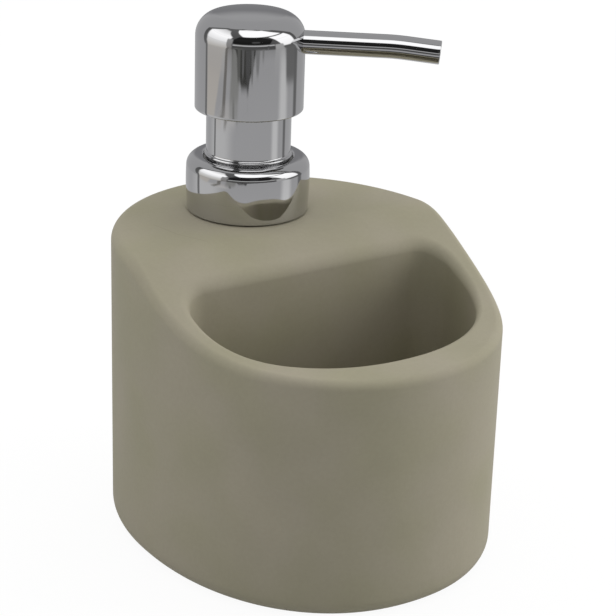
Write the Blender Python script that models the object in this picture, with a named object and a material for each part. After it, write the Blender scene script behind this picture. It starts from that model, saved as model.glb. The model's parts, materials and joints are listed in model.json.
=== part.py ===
"""A ceramic soap dispenser with a sponge pocket, made of the pieces that it comes apart into.

Metres, +Z up. The origin is the centre of the foot, the pocket opens towards -Y and the pump stands at +Y.
The pump's pieces hang from PumpAxis, an empty on the pump's axis at the level of the ceramic's flat top, so
their heights are counted from that top.
"""

import math
from collections import namedtuple

import bmesh
import bpy
from mathutils import Vector

# Ceramic body, overall
BODY_WIDTH = 0.1009
BODY_DEPTH = 0.1188
BODY_BACK_DEPTH = 0.0573
BODY_HEIGHT = 0.0855
FRONT_FULLNESS_SHARE = 2.15
BACK_FULLNESS_SHARE = 2.04
RIM_HEIGHT = 0.0680
RAMP_FOOT_HEIGHT = 0.0700
RAMP_LENGTH = 0.0308
RAMP_TOP_SOFTNESS = 0.0045
RAMP_FOOT_SOFTNESS = 0.0176

# Places along the depth, counted from the ceramic's back
PUMP_INSET = 0.0283
PUMP_TO_RAMP = 0.0219
RAMP_TO_POCKET = 0.0151
PUMP_Y = BODY_DEPTH / 2 - PUMP_INSET
RAMP_TOP_Y = PUMP_Y - PUMP_TO_RAMP
RAMP_FOOT_Y = RAMP_TOP_Y - RAMP_LENGTH

# Ceramic body, walls and edges
WALL = 0.0055
POCKET_SIDE_WALL = 0.0092
POCKET_FRONT_WALL = 0.0114
DIVIDER_WALL = 0.0060
NECK_WALL = 0.0070
FLOOR = 0.0080
FOOT_ROUNDING = 0.0052
FOOT_RING_WIDTH = 0.0080
FOOT_RECESS = 0.0012
FLAT_EDGE_ROUNDING = 0.0027
RIM_EDGE_ROUNDING = 0.0024
RIM_INNER_ROUNDING = 0.0024

# Sponge pocket
POCKET_BACK_Y = RAMP_TOP_Y - RAMP_TO_POCKET
POCKET_FLOOR = 0.0100
POCKET_FLOOR_ROUNDING = 0.0080
POCKET_CORNER_RADIUS = 0.0090
POCKET_TAPER = 0.0008

# Pump, shared by several pieces
STROKE = 0.0105
SEAT_GAP = 0.0003
SLIDE_GAP = 0.0004
NECK_HOLE_RADIUS = 0.0139
THREAD_PITCH = 0.00423
COLLAR_RADIUS = 0.0176
SLEEVE_RADIUS = 0.0120
SLEEVE_COVER = 0.0013
HEAD_RADIUS = 0.0153
HEAD_REST_HEIGHT = 0.0296
BARREL_BORE = 0.0060
STEM_RADIUS = 0.0040
TUBE_RADIUS = 0.00325
SPOUT_RADIUS = 0.0033
SPOUT_HEIGHT = 0.0491
SPOUT_TO_TOP = 0.0083
SPOUT_HEADING = math.radians(-38)
HEAD_TOP = SPOUT_HEIGHT + SPOUT_TO_TOP

# Fineness of round pieces, and the overrun that takes a cutter clear of what it cuts
BODY_STEPS = 96
ROUND_STEPS = 36
SMALL_STEPS = 24
TINY_STEPS = 16
CORNER_STEPS = 4
OVERRUN = 0.0020
WELD = 0.000001
SHARP_ANGLE = math.radians(32)

Outline = namedtuple("Outline", "half_width front_depth back_depth front_fullness back_fullness middle_y")

FULL_TURN = 2 * math.pi
QUARTER_TURN = math.pi / 2


def clear_scene():
    for old in list(bpy.data.objects):
        bpy.data.objects.remove(old, do_unlink=True)


def finish(name, colour, roughness, metallic=0.0):
    """A Principled material of one colour."""
    made = bpy.data.materials.new(name)
    made.use_nodes = True
    shader = made.node_tree.nodes["Principled BSDF"]
    shader.inputs["Base Color"].default_value = (*colour, 1.0)
    shader.inputs["Roughness"].default_value = roughness
    shader.inputs["Metallic"].default_value = metallic
    return made


def place(name, mesh, material, parent=None):
    """A smooth-shaded object that carries the mesh."""
    mesh.shade_smooth()
    mesh.set_sharp_from_angle(angle=SHARP_ANGLE)
    made = bpy.data.objects.new(name, mesh)
    bpy.context.collection.objects.link(made)
    if material:
        mesh.materials.append(material)
    made.parent = parent
    return made


def empty(name, location, heading=0.0, parent=None):
    made = bpy.data.objects.new(name, None)
    bpy.context.collection.objects.link(made)
    made.location = location
    made.rotation_euler.z = heading
    made.parent = parent
    return made


def as_cutter(made):
    made.hide_render = True
    made.display_type = "WIRE"
    return made


def combine(target, operation, other):
    """Adds a live Boolean that cuts, or joins on, the other object, which then counts as a helper."""
    modifier = target.modifiers.new(other.name, "BOOLEAN")
    modifier.operation = operation
    modifier.object = as_cutter(other)
    modifier.solver = "EXACT"


def mesh_of(name, shape):
    mesh = bpy.data.meshes.new(name)
    shape.to_mesh(mesh)
    shape.free()
    return mesh


def arc(centre, radius, start, end, steps=CORNER_STEPS):
    """Points of a round corner in a radius-height outline, from one angle to another."""
    points = []
    for step in range(steps + 1):
        angle = start + (end - start) * step / steps
        points.append((centre[0] + radius * math.cos(angle), centre[1] + radius * math.sin(angle)))
    return points


def turned(name, outline, material, parent, steps=SMALL_STEPS):
    """A body of revolution about Z. Sides of the closed outline that lie on the axis are left out."""
    shape = bmesh.new()
    points = [shape.verts.new((radius, 0, height)) for radius, height in outline]
    pairs = zip(points, points[1:] + points[:1])
    edges = [shape.edges.new(pair) for pair in pairs if max(pair[0].co.x, pair[1].co.x) > 0]
    middle = (0, 0, 0)
    upright = (0, 0, 1)
    section = points + edges
    bmesh.ops.spin(
        shape, geom=section, axis=upright, cent=middle, angle=FULL_TURN, steps=steps, use_merge=True
    )
    bmesh.ops.remove_doubles(shape, verts=shape.verts, dist=WELD)
    bmesh.ops.recalc_face_normals(shape, faces=shape.faces)
    return place(name, mesh_of(name, shape), material, parent)


def ring(inner, outer, bottom, top):
    """The square section of a plain ring or tube."""
    return [(inner, bottom), (outer, bottom), (outer, top), (inner, top)]


def rod(radius, bottom, top):
    return [(0, bottom), (radius, bottom), (radius, top), (0, top)]


def loft(name, rings, material=None, parent=None, end="capped"):
    """A skin over rings of points.

    Its first ring is capped. Its last one is capped too, or looped back to the first, or laid with strips
    across the X = 0 plane, for rings whose points lie in mirrored pairs on both sides of it.
    """
    shape = bmesh.new()
    rows = [[shape.verts.new(point) for point in points] for points in rings]
    pairs = list(zip(rows, rows[1:]))
    if end == "looped":
        pairs.append((rows[-1], rows[0]))
    for low, high in pairs:
        for index, point in enumerate(low):
            shape.faces.new((low[index - 1], point, high[index], high[index - 1]))
    if end != "looped":
        shape.faces.new(rows[0])
    if end == "capped":
        shape.faces.new(rows[-1])
    if end == "strips":
        half = len(rows[-1]) // 2
        right, left = rows[-1][: half + 1], [rows[-1][0]] + rows[-1][: half - 1 : -1]
        shape.faces.new((right[0], right[1], left[1]))
        for step in range(1, half - 1):
            shape.faces.new((right[step], right[step + 1], left[step + 1], left[step]))
        shape.faces.new((right[half - 1], right[half], left[half - 1]))
    bmesh.ops.recalc_face_normals(shape, faces=shape.faces)
    return place(name, mesh_of(name, shape), material, parent)


def outline_point(outline, angle, inset):
    """A point on the outline's plan, moved inwards along the outline's own normal."""
    across, along = math.cos(angle), math.sin(angle)
    depth = outline.back_depth if along > 0 else outline.front_depth
    fullness = outline.back_fullness if along > 0 else outline.front_fullness
    size = (abs(across) / outline.half_width) ** fullness + (abs(along) / depth) ** fullness
    reach = size ** (-1 / fullness)
    x, y = reach * across, reach * along
    slope_x = math.copysign(abs(x / outline.half_width) ** (fullness - 1) / outline.half_width, x)
    slope_y = math.copysign(abs(y / depth) ** (fullness - 1) / depth, y)
    normal = Vector((slope_x, slope_y)).normalized()
    return Vector((x, y + outline.middle_y)) - normal * inset


def plan(outline, inset, steps=BODY_STEPS):
    """Points round the outline, in mirrored pairs from its front round to its back."""
    return [outline_point(outline, FULL_TURN * step / steps - QUARTER_TURN, inset) for step in range(steps)]


def soft_step(distance, softness):
    """Zero below, the distance itself above, and a parabola between, so that a crease is rounded."""
    if distance <= -softness:
        return 0.0
    if distance >= softness:
        return distance
    return (distance + softness) ** 2 / (4 * softness)


def top_height(y):
    """Height of the ceramic's top along the depth: flat at the back, then the ramp, then the rim."""
    ramp_slope = (BODY_HEIGHT - RAMP_FOOT_HEIGHT) / (RAMP_TOP_Y - RAMP_FOOT_Y)
    rim_slope = (RAMP_FOOT_HEIGHT - RIM_HEIGHT) / (RAMP_FOOT_Y + BODY_DEPTH / 2)
    past_top = soft_step(RAMP_TOP_Y - y, RAMP_TOP_SOFTNESS)
    past_foot = soft_step(RAMP_FOOT_Y - y, RAMP_FOOT_SOFTNESS)
    return BODY_HEIGHT - ramp_slope * (past_top - past_foot) - rim_slope * past_foot


def edge_rounding(y):
    """The top edge's rounding, small round the flat part and growing down the ramp to the rim."""
    share = min(max((RAMP_TOP_Y - y) / (RAMP_TOP_Y - RAMP_FOOT_Y), 0.0), 1.0)
    return FLAT_EDGE_ROUNDING + (RIM_EDGE_ROUNDING - FLAT_EDGE_ROUNDING) * share


def draped(points, drop):
    """Lays plan points on the top surface, lowered by a drop."""
    return [(point.x, point.y, top_height(point.y) - drop) for point in points]


def level(points, height):
    return [(point.x, point.y, height) for point in points]


BODY = Outline(
    half_width=BODY_WIDTH / 2,
    front_depth=BODY_DEPTH - BODY_BACK_DEPTH,
    back_depth=BODY_BACK_DEPTH,
    front_fullness=FRONT_FULLNESS_SHARE,
    back_fullness=BACK_FULLNESS_SHARE,
    middle_y=BODY_DEPTH / 2 - BODY_BACK_DEPTH,
)
POCKET_MIDDLE_Y = POCKET_BACK_Y - POCKET_CORNER_RADIUS
POCKET = Outline(
    half_width=BODY_WIDTH / 2 - POCKET_SIDE_WALL,
    front_depth=POCKET_MIDDLE_Y + BODY_DEPTH / 2 - POCKET_FRONT_WALL,
    back_depth=POCKET_CORNER_RADIUS,
    front_fullness=FRONT_FULLNESS_SHARE,
    back_fullness=BACK_FULLNESS_SHARE,
    middle_y=POCKET_MIDDLE_Y,
)


def pocket_plan(inset, steps=BODY_STEPS):
    """Points round the pocket's D: the curved front, then a straight back between two round corners."""
    front_steps = steps // 2
    corner_steps = front_steps // 8
    points = [
        outline_point(POCKET, math.pi * (1 + step / front_steps), inset) for step in range(front_steps + 1)
    ]
    reach = POCKET.half_width - POCKET_CORNER_RADIUS
    radius = POCKET_CORNER_RADIUS - inset
    for step in range(1, corner_steps + 1):
        angle = QUARTER_TURN * step / corner_steps
        points.append(Vector((reach + radius * math.cos(angle), POCKET_MIDDLE_Y + radius * math.sin(angle))))
    for step in range(corner_steps):
        angle = QUARTER_TURN * (1 + step / corner_steps)
        points.append(Vector((radius * math.cos(angle) - reach, POCKET_MIDDLE_Y + radius * math.sin(angle))))
    return points


def body_skin():
    """The outer skin from the flat foot over the rounded foot edge and the wall to the rounded top edge."""
    edge_steps = 5
    rings = []
    for step in range(edge_steps + 1):
        angle = QUARTER_TURN * step / edge_steps
        inset = FOOT_ROUNDING * (1 - math.sin(angle))
        rings.append(level(plan(BODY, inset), FOOT_ROUNDING * (1 - math.cos(angle))))
    roundings = [edge_rounding(point.y) for point in plan(BODY, 0)]
    for step in range(edge_steps + 1):
        angle = QUARTER_TURN * step / edge_steps
        points = []
        for index, rounding in enumerate(roundings):
            around = FULL_TURN * index / BODY_STEPS - QUARTER_TURN
            point = outline_point(BODY, around, rounding * (1 - math.cos(angle)))
            points.append((point.x, point.y, top_height(point.y) - rounding * (1 - math.sin(angle))))
        rings.append(points)
    return rings


def pocket_rings():
    """The pocket's cutter: rounded floor edge, tapered wall, and a rim that opens along the surface."""
    flare_steps = 3
    flare_end = math.radians(60)
    rings = []
    for step in range(CORNER_STEPS + 1):
        angle = QUARTER_TURN * step / CORNER_STEPS
        inset = POCKET_TAPER + POCKET_FLOOR_ROUNDING * (1 - math.sin(angle))
        rings.append(level(pocket_plan(inset), POCKET_FLOOR + POCKET_FLOOR_ROUNDING * (1 - math.cos(angle))))
    for step in range(flare_steps + 1):
        angle = flare_end * step / flare_steps
        grown = RIM_INNER_ROUNDING * (1 - math.cos(angle))
        rings.append(draped(pocket_plan(-grown), RIM_INNER_ROUNDING * (1 - math.sin(angle))))
    rise = OVERRUN + RIM_INNER_ROUNDING * (1 - math.sin(flare_end))
    grown = RIM_INNER_ROUNDING * (1 - math.cos(flare_end)) + rise * math.tan(flare_end)
    rings.append(draped(pocket_plan(-grown), -OVERRUN))
    return rings


def reservoir_rings():
    """The hollow inside the wall, before its part in front of the divider is taken away."""
    corner = FOOT_ROUNDING
    rings = []
    for step in range(CORNER_STEPS + 1):
        angle = QUARTER_TURN * step / CORNER_STEPS
        inset = WALL + corner * (1 - math.sin(angle))
        rings.append(level(plan(BODY, inset, ROUND_STEPS), FLOOR + corner * (1 - math.cos(angle))))
    for step in range(CORNER_STEPS + 1):
        angle = QUARTER_TURN * step / CORNER_STEPS
        inset = WALL + corner * (1 - math.cos(angle))
        rings.append(draped(plan(BODY, inset, ROUND_STEPS), NECK_WALL + corner * (1 - math.sin(angle))))
    return rings


def ceramic_body():
    clay = finish("Greige ceramic", (0.300, 0.276, 0.205), 0.62)
    body = loft("ceramic_body", body_skin(), clay, end="strips")
    pocket_cutter = loft("pocket_cutter", pocket_rings())
    reservoir = loft("reservoir_cutter", reservoir_rings(), end="strips")
    divider_y = POCKET_BACK_Y + DIVIDER_WALL
    front_plan = [
        Vector((-BODY_WIDTH, -BODY_DEPTH)),
        Vector((BODY_WIDTH, -BODY_DEPTH)),
        Vector((BODY_WIDTH, divider_y)),
        Vector((-BODY_WIDTH, divider_y)),
    ]
    front = loft("divider_guard", [level(front_plan, 0), level(front_plan, BODY_HEIGHT)])
    combine(reservoir, "DIFFERENCE", front)
    recess_plan = plan(BODY, FOOT_ROUNDING + FOOT_RING_WIDTH, ROUND_STEPS)
    recess = loft("foot_cutter", [level(recess_plan, -OVERRUN), level(recess_plan, FOOT_RECESS)])
    neck_outline = rod(NECK_HOLE_RADIUS, -NECK_WALL - OVERRUN, OVERRUN)
    neck = turned("neck_cutter", neck_outline, None, None, ROUND_STEPS)
    neck.location = (0, PUMP_Y, BODY_HEIGHT)
    for cutter in (pocket_cutter, reservoir, neck, recess):
        combine(body, "DIFFERENCE", cutter)


# Stack on the neck, from the ceramic's top up: seal, plug flange, neck, gasket, barrel flange, closure, cover
SEAL_FLANGE = 0.0007
PLUG_FLANGE = 0.0012
NECK_HEIGHT = 0.0083
GASKET = 0.0008
BARREL_FLANGE = 0.0010
LINER_TOP = 0.0014
COLLAR_SKIN = 0.0007
SEAL_TOP = SEAT_GAP + SEAL_FLANGE
PLUG_FLANGE_BOTTOM = SEAL_TOP + SEAT_GAP
PLUG_FLANGE_TOP = PLUG_FLANGE_BOTTOM + PLUG_FLANGE
NECK_TOP = PLUG_FLANGE_TOP + NECK_HEIGHT
GASKET_BOTTOM = NECK_TOP + SEAT_GAP
BARREL_FLANGE_BOTTOM = GASKET_BOTTOM + GASKET + SEAT_GAP
BARREL_FLANGE_TOP = BARREL_FLANGE_BOTTOM + BARREL_FLANGE
LINER_CEILING = BARREL_FLANGE_TOP + SEAT_GAP
LINER_HEIGHT = LINER_CEILING + LINER_TOP
COLLAR_HEIGHT = LINER_HEIGHT + SEAT_GAP + COLLAR_SKIN

# Neck and thread
NECK_RADIUS = 0.01275
NECK_BORE = 0.0106
THREAD_DEPTH = 0.00095
THREAD_ROOT = 0.0020
THREAD_CREST = 0.0010
THREAD_FLANK_GAP = 0.0004
NECK_THREAD_TURNS_SHARE = (0.0, 1.25)
LINER_THREAD_TURNS_SHARE = (0.55, 1.75)
THREAD_PHASE = math.radians(2.5)
LINER_BORE = NECK_RADIUS + THREAD_DEPTH + SLIDE_GAP
PLUG_FLANGE_RADIUS = 0.0153
SEAL_BOTTOM = -0.0082
SEAL_BORE = 0.0125


def thread_ridge(name, root_radius, crest_radius, drop, turns, parent):
    """A right-handed ridge on the neck's helix, or a drop below it, from one share of a turn to another.

    Its root is sunk into the wall, and its height fades at both ends.
    """
    end_share = 0.25
    sink = math.copysign(SEAT_GAP, root_radius - crest_radius)
    faded = root_radius + (crest_radius - root_radius) * end_share
    first, last = turns
    steps = round(SMALL_STEPS * (last - first))
    helix_start = PLUG_FLANGE_TOP + THREAD_ROOT / 2 + SEAT_GAP - drop
    rings = []
    for step in range(steps + 1):
        turn = first + (last - first) * step / steps
        angle = FULL_TURN * turn + THREAD_PHASE
        middle = helix_start + THREAD_PITCH * turn
        crest = faded if step in (0, steps) else crest_radius
        section = (
            (root_radius + sink, -THREAD_ROOT / 2),
            (crest, -THREAD_CREST / 2),
            (crest, THREAD_CREST / 2),
            (root_radius + sink, THREAD_ROOT / 2),
        )
        rings.append(
            [(radius * math.cos(angle), radius * math.sin(angle), middle + rise) for radius, rise in section]
        )
    return loft(name, rings, None, parent)


def neck_plug(axis):
    """The push-fit plug: skirt with a retaining bead, flange, and the threaded neck."""
    skirt_radius = 0.0122
    bead_radius = 0.0129
    bead_height = 0.0012
    skirt_bottom = SEAL_BOTTOM - SEAT_GAP - bead_height
    outline = [
        (NECK_BORE, skirt_bottom),
        (bead_radius - SEAL_FLANGE, skirt_bottom),
        (bead_radius, skirt_bottom + bead_height / 2),
        (bead_radius, skirt_bottom + bead_height),
        (skirt_radius, skirt_bottom + bead_height),
        (skirt_radius, PLUG_FLANGE_BOTTOM),
        (PLUG_FLANGE_RADIUS, PLUG_FLANGE_BOTTOM),
        (PLUG_FLANGE_RADIUS, PLUG_FLANGE_TOP),
        (NECK_RADIUS, PLUG_FLANGE_TOP),
        (NECK_RADIUS, NECK_TOP),
        (NECK_BORE, NECK_TOP),
    ]
    white = finish("White polypropylene", (0.78, 0.78, 0.75), 0.45)
    plug = turned("neck_plug", outline, white, axis)
    crest = NECK_RADIUS + THREAD_DEPTH
    ridge = thread_ridge("neck_thread", NECK_RADIUS, crest, 0, NECK_THREAD_TURNS_SHARE, axis)
    combine(plug, "UNION", ridge)


def plug_seal(axis):
    """A silicone sleeve with a flange on the ceramic's top and three ribs against the hole's wall."""
    sleeve_radius = 0.0130
    rib_radius = NECK_HOLE_RADIUS - SLIDE_GAP
    rib_height = 0.0010
    rib_spacing = 0.0020
    rib_count = 3
    outline = [(SEAL_BORE, SEAL_BOTTOM), (sleeve_radius, SEAL_BOTTOM)]
    for rib in range(rib_count, 0, -1):
        middle = -rib_spacing * rib
        outline += [
            (sleeve_radius, middle - rib_height / 2),
            (rib_radius, middle),
            (sleeve_radius, middle + rib_height / 2),
        ]
    outline += [
        (sleeve_radius, SEAT_GAP),
        (PLUG_FLANGE_RADIUS, SEAT_GAP),
        (PLUG_FLANGE_RADIUS, SEAL_TOP),
        (SEAL_BORE, SEAL_TOP),
    ]
    silicone = finish("Clear grey silicone", (0.55, 0.56, 0.55), 0.50)
    turned("plug_seal", outline, silicone, axis)


def neck_gasket(axis):
    inner = 0.0108
    outer = 0.0130
    foam = finish("Polyethylene foam", (0.85, 0.85, 0.83), 0.70)
    turned("neck_gasket", ring(inner, outer, GASKET_BOTTOM, GASKET_BOTTOM + GASKET), foam, axis)


# Chromed cover of the collar
COLLAR_TOP_RADIUS = 0.0171
COLLAR_SHOULDER = 0.0016
SLEEVE_FOOT_RADIUS = 0.0123
SLEEVE_FOOT_HEIGHT = 0.0033


def collar_shell(axis, chrome):
    """A thin cup, open below, with a rounded shoulder and a hole for the guide sleeve's foot."""
    hole = SLEEVE_FOOT_RADIUS + SEAT_GAP
    centre = (COLLAR_TOP_RADIUS - COLLAR_SHOULDER, COLLAR_HEIGHT - COLLAR_SHOULDER)
    outline = [(COLLAR_RADIUS - COLLAR_SKIN, SEAT_GAP), (COLLAR_RADIUS, SEAT_GAP)]
    outline += arc(centre, COLLAR_SHOULDER, 0, QUARTER_TURN)
    outline += [(hole, COLLAR_HEIGHT), (hole, COLLAR_HEIGHT - COLLAR_SKIN)]
    outline += arc(centre, COLLAR_SHOULDER - COLLAR_SKIN, QUARTER_TURN, 0)
    turned("collar_shell", outline, chrome, axis, ROUND_STEPS)


def collar_liner(axis):
    """The threaded closure: it pulls the barrel's flange down on the gasket."""
    outer = COLLAR_TOP_RADIUS - COLLAR_SKIN - SEAT_GAP
    chamfer = 0.0010
    bottom = PLUG_FLANGE_TOP + SLIDE_GAP
    outline = [
        (LINER_BORE, bottom),
        (outer, bottom),
        (outer, LINER_HEIGHT - chamfer),
        (outer - chamfer, LINER_HEIGHT),
        (CAP_RADIUS + SEAT_GAP, LINER_HEIGHT),
        (CAP_RADIUS + SEAT_GAP, LINER_CEILING),
        (LINER_BORE, LINER_CEILING),
    ]
    grey = finish("Grey polypropylene", (0.42, 0.42, 0.42), 0.45)
    liner = turned("collar_liner", outline, grey, axis)
    drop = (THREAD_ROOT + THREAD_CREST) / 2 + THREAD_FLANK_GAP
    crest = NECK_RADIUS + SLIDE_GAP
    ridge = thread_ridge("liner_thread", LINER_BORE, crest, drop, LINER_THREAD_TURNS_SHARE, axis)
    combine(liner, "UNION", ridge)


# Cap on the barrel, which snaps over a bead
CAP_RADIUS = 0.0107
CAP_BORE = 0.0093
CAP_TOP = 0.0012
BOSS_RADIUS = 0.0090
BOSS_HEIGHT = 0.0180
BEAD_RADIUS = 0.0095
BEAD_MIDDLE = 0.0164
BEAD_HALF_HEIGHT = 0.0004
SPLASH_SEAL = 0.0012
SPLASH_SEAL_BOTTOM = BOSS_HEIGHT + SEAT_GAP
CAP_CEILING = SPLASH_SEAL_BOTTOM + SPLASH_SEAL + SEAT_GAP
CAP_HEIGHT = CAP_CEILING + CAP_TOP


def barrel_cap(axis):
    stem_hole = STEM_RADIUS + SLIDE_GAP
    groove = BEAD_RADIUS + SEAT_GAP
    groove_half = BEAD_HALF_HEIGHT + SEAT_GAP
    outline = [
        (CAP_BORE, BARREL_FLANGE_TOP + SEAT_GAP),
        (CAP_RADIUS, BARREL_FLANGE_TOP + SEAT_GAP),
        (CAP_RADIUS, CAP_HEIGHT),
        (stem_hole, CAP_HEIGHT),
        (stem_hole, CAP_CEILING),
        (CAP_BORE, CAP_CEILING),
        (CAP_BORE, BEAD_MIDDLE + groove_half),
        (groove, BEAD_MIDDLE + groove_half),
        (groove, BEAD_MIDDLE - groove_half),
        (CAP_BORE, BEAD_MIDDLE - groove_half),
    ]
    white = finish("White acetal", (0.80, 0.80, 0.78), 0.40)
    turned("barrel_cap", outline, white, axis)


def splash_seal(axis):
    """A soft washer that wipes the stem."""
    outer = BOSS_RADIUS
    body_bore = 0.0058
    lip = STEM_RADIUS + SEAT_GAP
    lip_height = 0.0004
    top = SPLASH_SEAL_BOTTOM + SPLASH_SEAL
    outline = [
        (body_bore, SPLASH_SEAL_BOTTOM),
        (outer, SPLASH_SEAL_BOTTOM),
        (outer, top),
        (lip, top),
        (lip, top - lip_height),
    ]
    turned("splash_seal", outline, finish("Soft polyethylene", (0.70, 0.72, 0.70), 0.50), axis)


def guide_sleeve(axis, chrome):
    """The chromed sleeve over the cap, with a thicker foot and a closed top that the stem passes."""
    skin = 0.0009
    bottom = LINER_HEIGHT + SEAT_GAP
    foot_top = bottom + SLEEVE_FOOT_HEIGHT
    foot_chamfer = SLEEVE_FOOT_RADIUS - SLEEVE_RADIUS
    top = HEAD_REST_HEIGHT + SLEEVE_COVER
    rounding = 0.0008
    stem_hole = STEM_RADIUS + SLIDE_GAP
    outline = [
        (SLEEVE_RADIUS - skin, bottom),
        (SLEEVE_FOOT_RADIUS, bottom),
        (SLEEVE_FOOT_RADIUS, foot_top - foot_chamfer),
        (SLEEVE_RADIUS, foot_top),
    ]
    outline += arc((SLEEVE_RADIUS - rounding, top - rounding), rounding, 0, QUARTER_TURN, 2)
    outline += [(stem_hole, top), (stem_hole, top - skin), (SLEEVE_RADIUS - skin, top - skin)]
    turned("guide_sleeve", outline, chrome, axis, ROUND_STEPS)


# Pump cylinder
BARREL_WALL = 0.0013
BARREL_SHOULDER = -0.0270
CHAMBER_RADIUS = 0.0032
CHAMBER_BOTTOM = -0.0310
SEAT_RADIUS = 0.0019
SEAT_BOTTOM = -0.0326
SOCKET_TOP = -0.0340
SOCKET_BOTTOM = -0.0420
SOCKET_WALL = 0.0012
BALL_RADIUS = 0.0025


def pump_barrel(axis):
    """Flange and snap boss, cylinder bore, ball chamber with its conical seat, and the dip tube's socket."""
    flange_radius = 0.0129
    socket = TUBE_RADIUS + SEAT_GAP
    outer = BARREL_BORE + BARREL_WALL
    outline = [
        (BARREL_BORE, BOSS_HEIGHT),
        (BARREL_BORE, BARREL_SHOULDER),
        (CHAMBER_RADIUS, BARREL_SHOULDER),
        (CHAMBER_RADIUS, CHAMBER_BOTTOM),
        (SEAT_RADIUS, SEAT_BOTTOM),
        (SEAT_RADIUS, SOCKET_TOP),
        (socket, SOCKET_TOP),
        (socket, SOCKET_BOTTOM),
        (socket + SOCKET_WALL, SOCKET_BOTTOM),
        (socket + SOCKET_WALL, SEAT_BOTTOM),
        (outer, BARREL_SHOULDER),
        (outer, BARREL_FLANGE_BOTTOM),
        (flange_radius, BARREL_FLANGE_BOTTOM),
        (flange_radius, BARREL_FLANGE_TOP),
        (BOSS_RADIUS, BARREL_FLANGE_TOP),
        (BOSS_RADIUS, BEAD_MIDDLE - BEAD_HALF_HEIGHT),
        (BEAD_RADIUS, BEAD_MIDDLE),
        (BOSS_RADIUS, BEAD_MIDDLE + BEAD_HALF_HEIGHT),
        (BOSS_RADIUS, BOSS_HEIGHT),
    ]
    clear = finish("Natural polypropylene", (0.82, 0.84, 0.82), 0.35)
    barrel = turned("pump_barrel", outline, clear, axis)
    vent_radius = 0.0008
    vent_depth = 0.0035
    vent = turned("vent_cutter", rod(vent_radius, 0, outer + OVERRUN), None, axis, TINY_STEPS)
    vent.location.z = SEAL_REST_TOP - vent_depth
    vent.rotation_euler.y = QUARTER_TURN
    combine(barrel, "DIFFERENCE", vent)


def dip_tube(axis):
    """A tube from the socket to just above the reservoir's floor, with its end cut on a slant."""
    wall = 0.0008
    floor_gap = 0.0025
    slant = 0.0050
    bottom = FLOOR + floor_gap - BODY_HEIGHT
    top = SOCKET_TOP - SEAT_GAP
    tube = turned(
        "dip_tube",
        ring(TUBE_RADIUS - wall, TUBE_RADIUS, bottom, top),
        finish("Natural polyethylene", (0.80, 0.83, 0.82), 0.35),
        axis,
        TINY_STEPS,
    )
    for vertex in tube.data.vertices:
        if vertex.co.z < (bottom + top) / 2:
            vertex.co.z += slant * (vertex.co.y + TUBE_RADIUS) / (2 * TUBE_RADIUS)


def inlet_ball(axis):
    """A ball held a seat gap off the cone below it, which fixes the height of its centre."""
    cone = Vector((CHAMBER_RADIUS - SEAT_RADIUS, CHAMBER_BOTTOM - SEAT_BOTTOM))
    along, across = cone.y / cone.length, cone.x / cone.length
    centre = SEAT_BOTTOM + (BALL_RADIUS + SEAT_GAP - SEAT_RADIUS * along) / across
    rows = TINY_STEPS // 2
    steel = finish("Ball steel", (0.62, 0.62, 0.63), 0.2, 1.0)
    shape = bmesh.new()
    bmesh.ops.create_uvsphere(shape, u_segments=TINY_STEPS, v_segments=rows, radius=BALL_RADIUS)
    ball = place("inlet_ball", mesh_of("inlet_ball", shape), steel, axis)
    ball.location.z = centre


# Cage over the ball, and the spring that stands on it
CAGE_BOTTOM = BARREL_SHOULDER + SEAT_GAP
CAGE_DISC = 0.0018
CAGE_RIM = 0.0015
SPRING_RADIUS = 0.0042
WIRE_RADIUS = 0.0004
SPRING_END_GAP = 0.00045


def ball_cage(axis):
    """A disc with four flow holes that stops the ball, and a rim that centres the spring."""
    outer = BARREL_BORE - SEAT_GAP
    rim = SPRING_RADIUS + WIRE_RADIUS + SLIDE_GAP
    disc_top = CAGE_BOTTOM + CAGE_DISC
    outline = [
        (0, CAGE_BOTTOM),
        (outer, CAGE_BOTTOM),
        (outer, disc_top + CAGE_RIM),
        (rim, disc_top + CAGE_RIM),
        (rim, disc_top),
        (0, disc_top),
    ]
    cage = turned("ball_cage", outline, finish("Grey acetal", (0.50, 0.50, 0.50), 0.4), axis)
    hole_radius = 0.0008
    hole_count = 4
    hole_outline = rod(hole_radius, CAGE_BOTTOM - OVERRUN, disc_top + OVERRUN)
    for number in range(hole_count):
        angle = FULL_TURN * number / hole_count
        cutter = turned(f"cage_cutter_{number}", hole_outline, None, axis, TINY_STEPS)
        reach = CHAMBER_RADIUS - hole_radius
        cutter.location.xy = (reach * math.cos(angle), reach * math.sin(angle))
        combine(cage, "DIFFERENCE", cutter)


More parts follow.
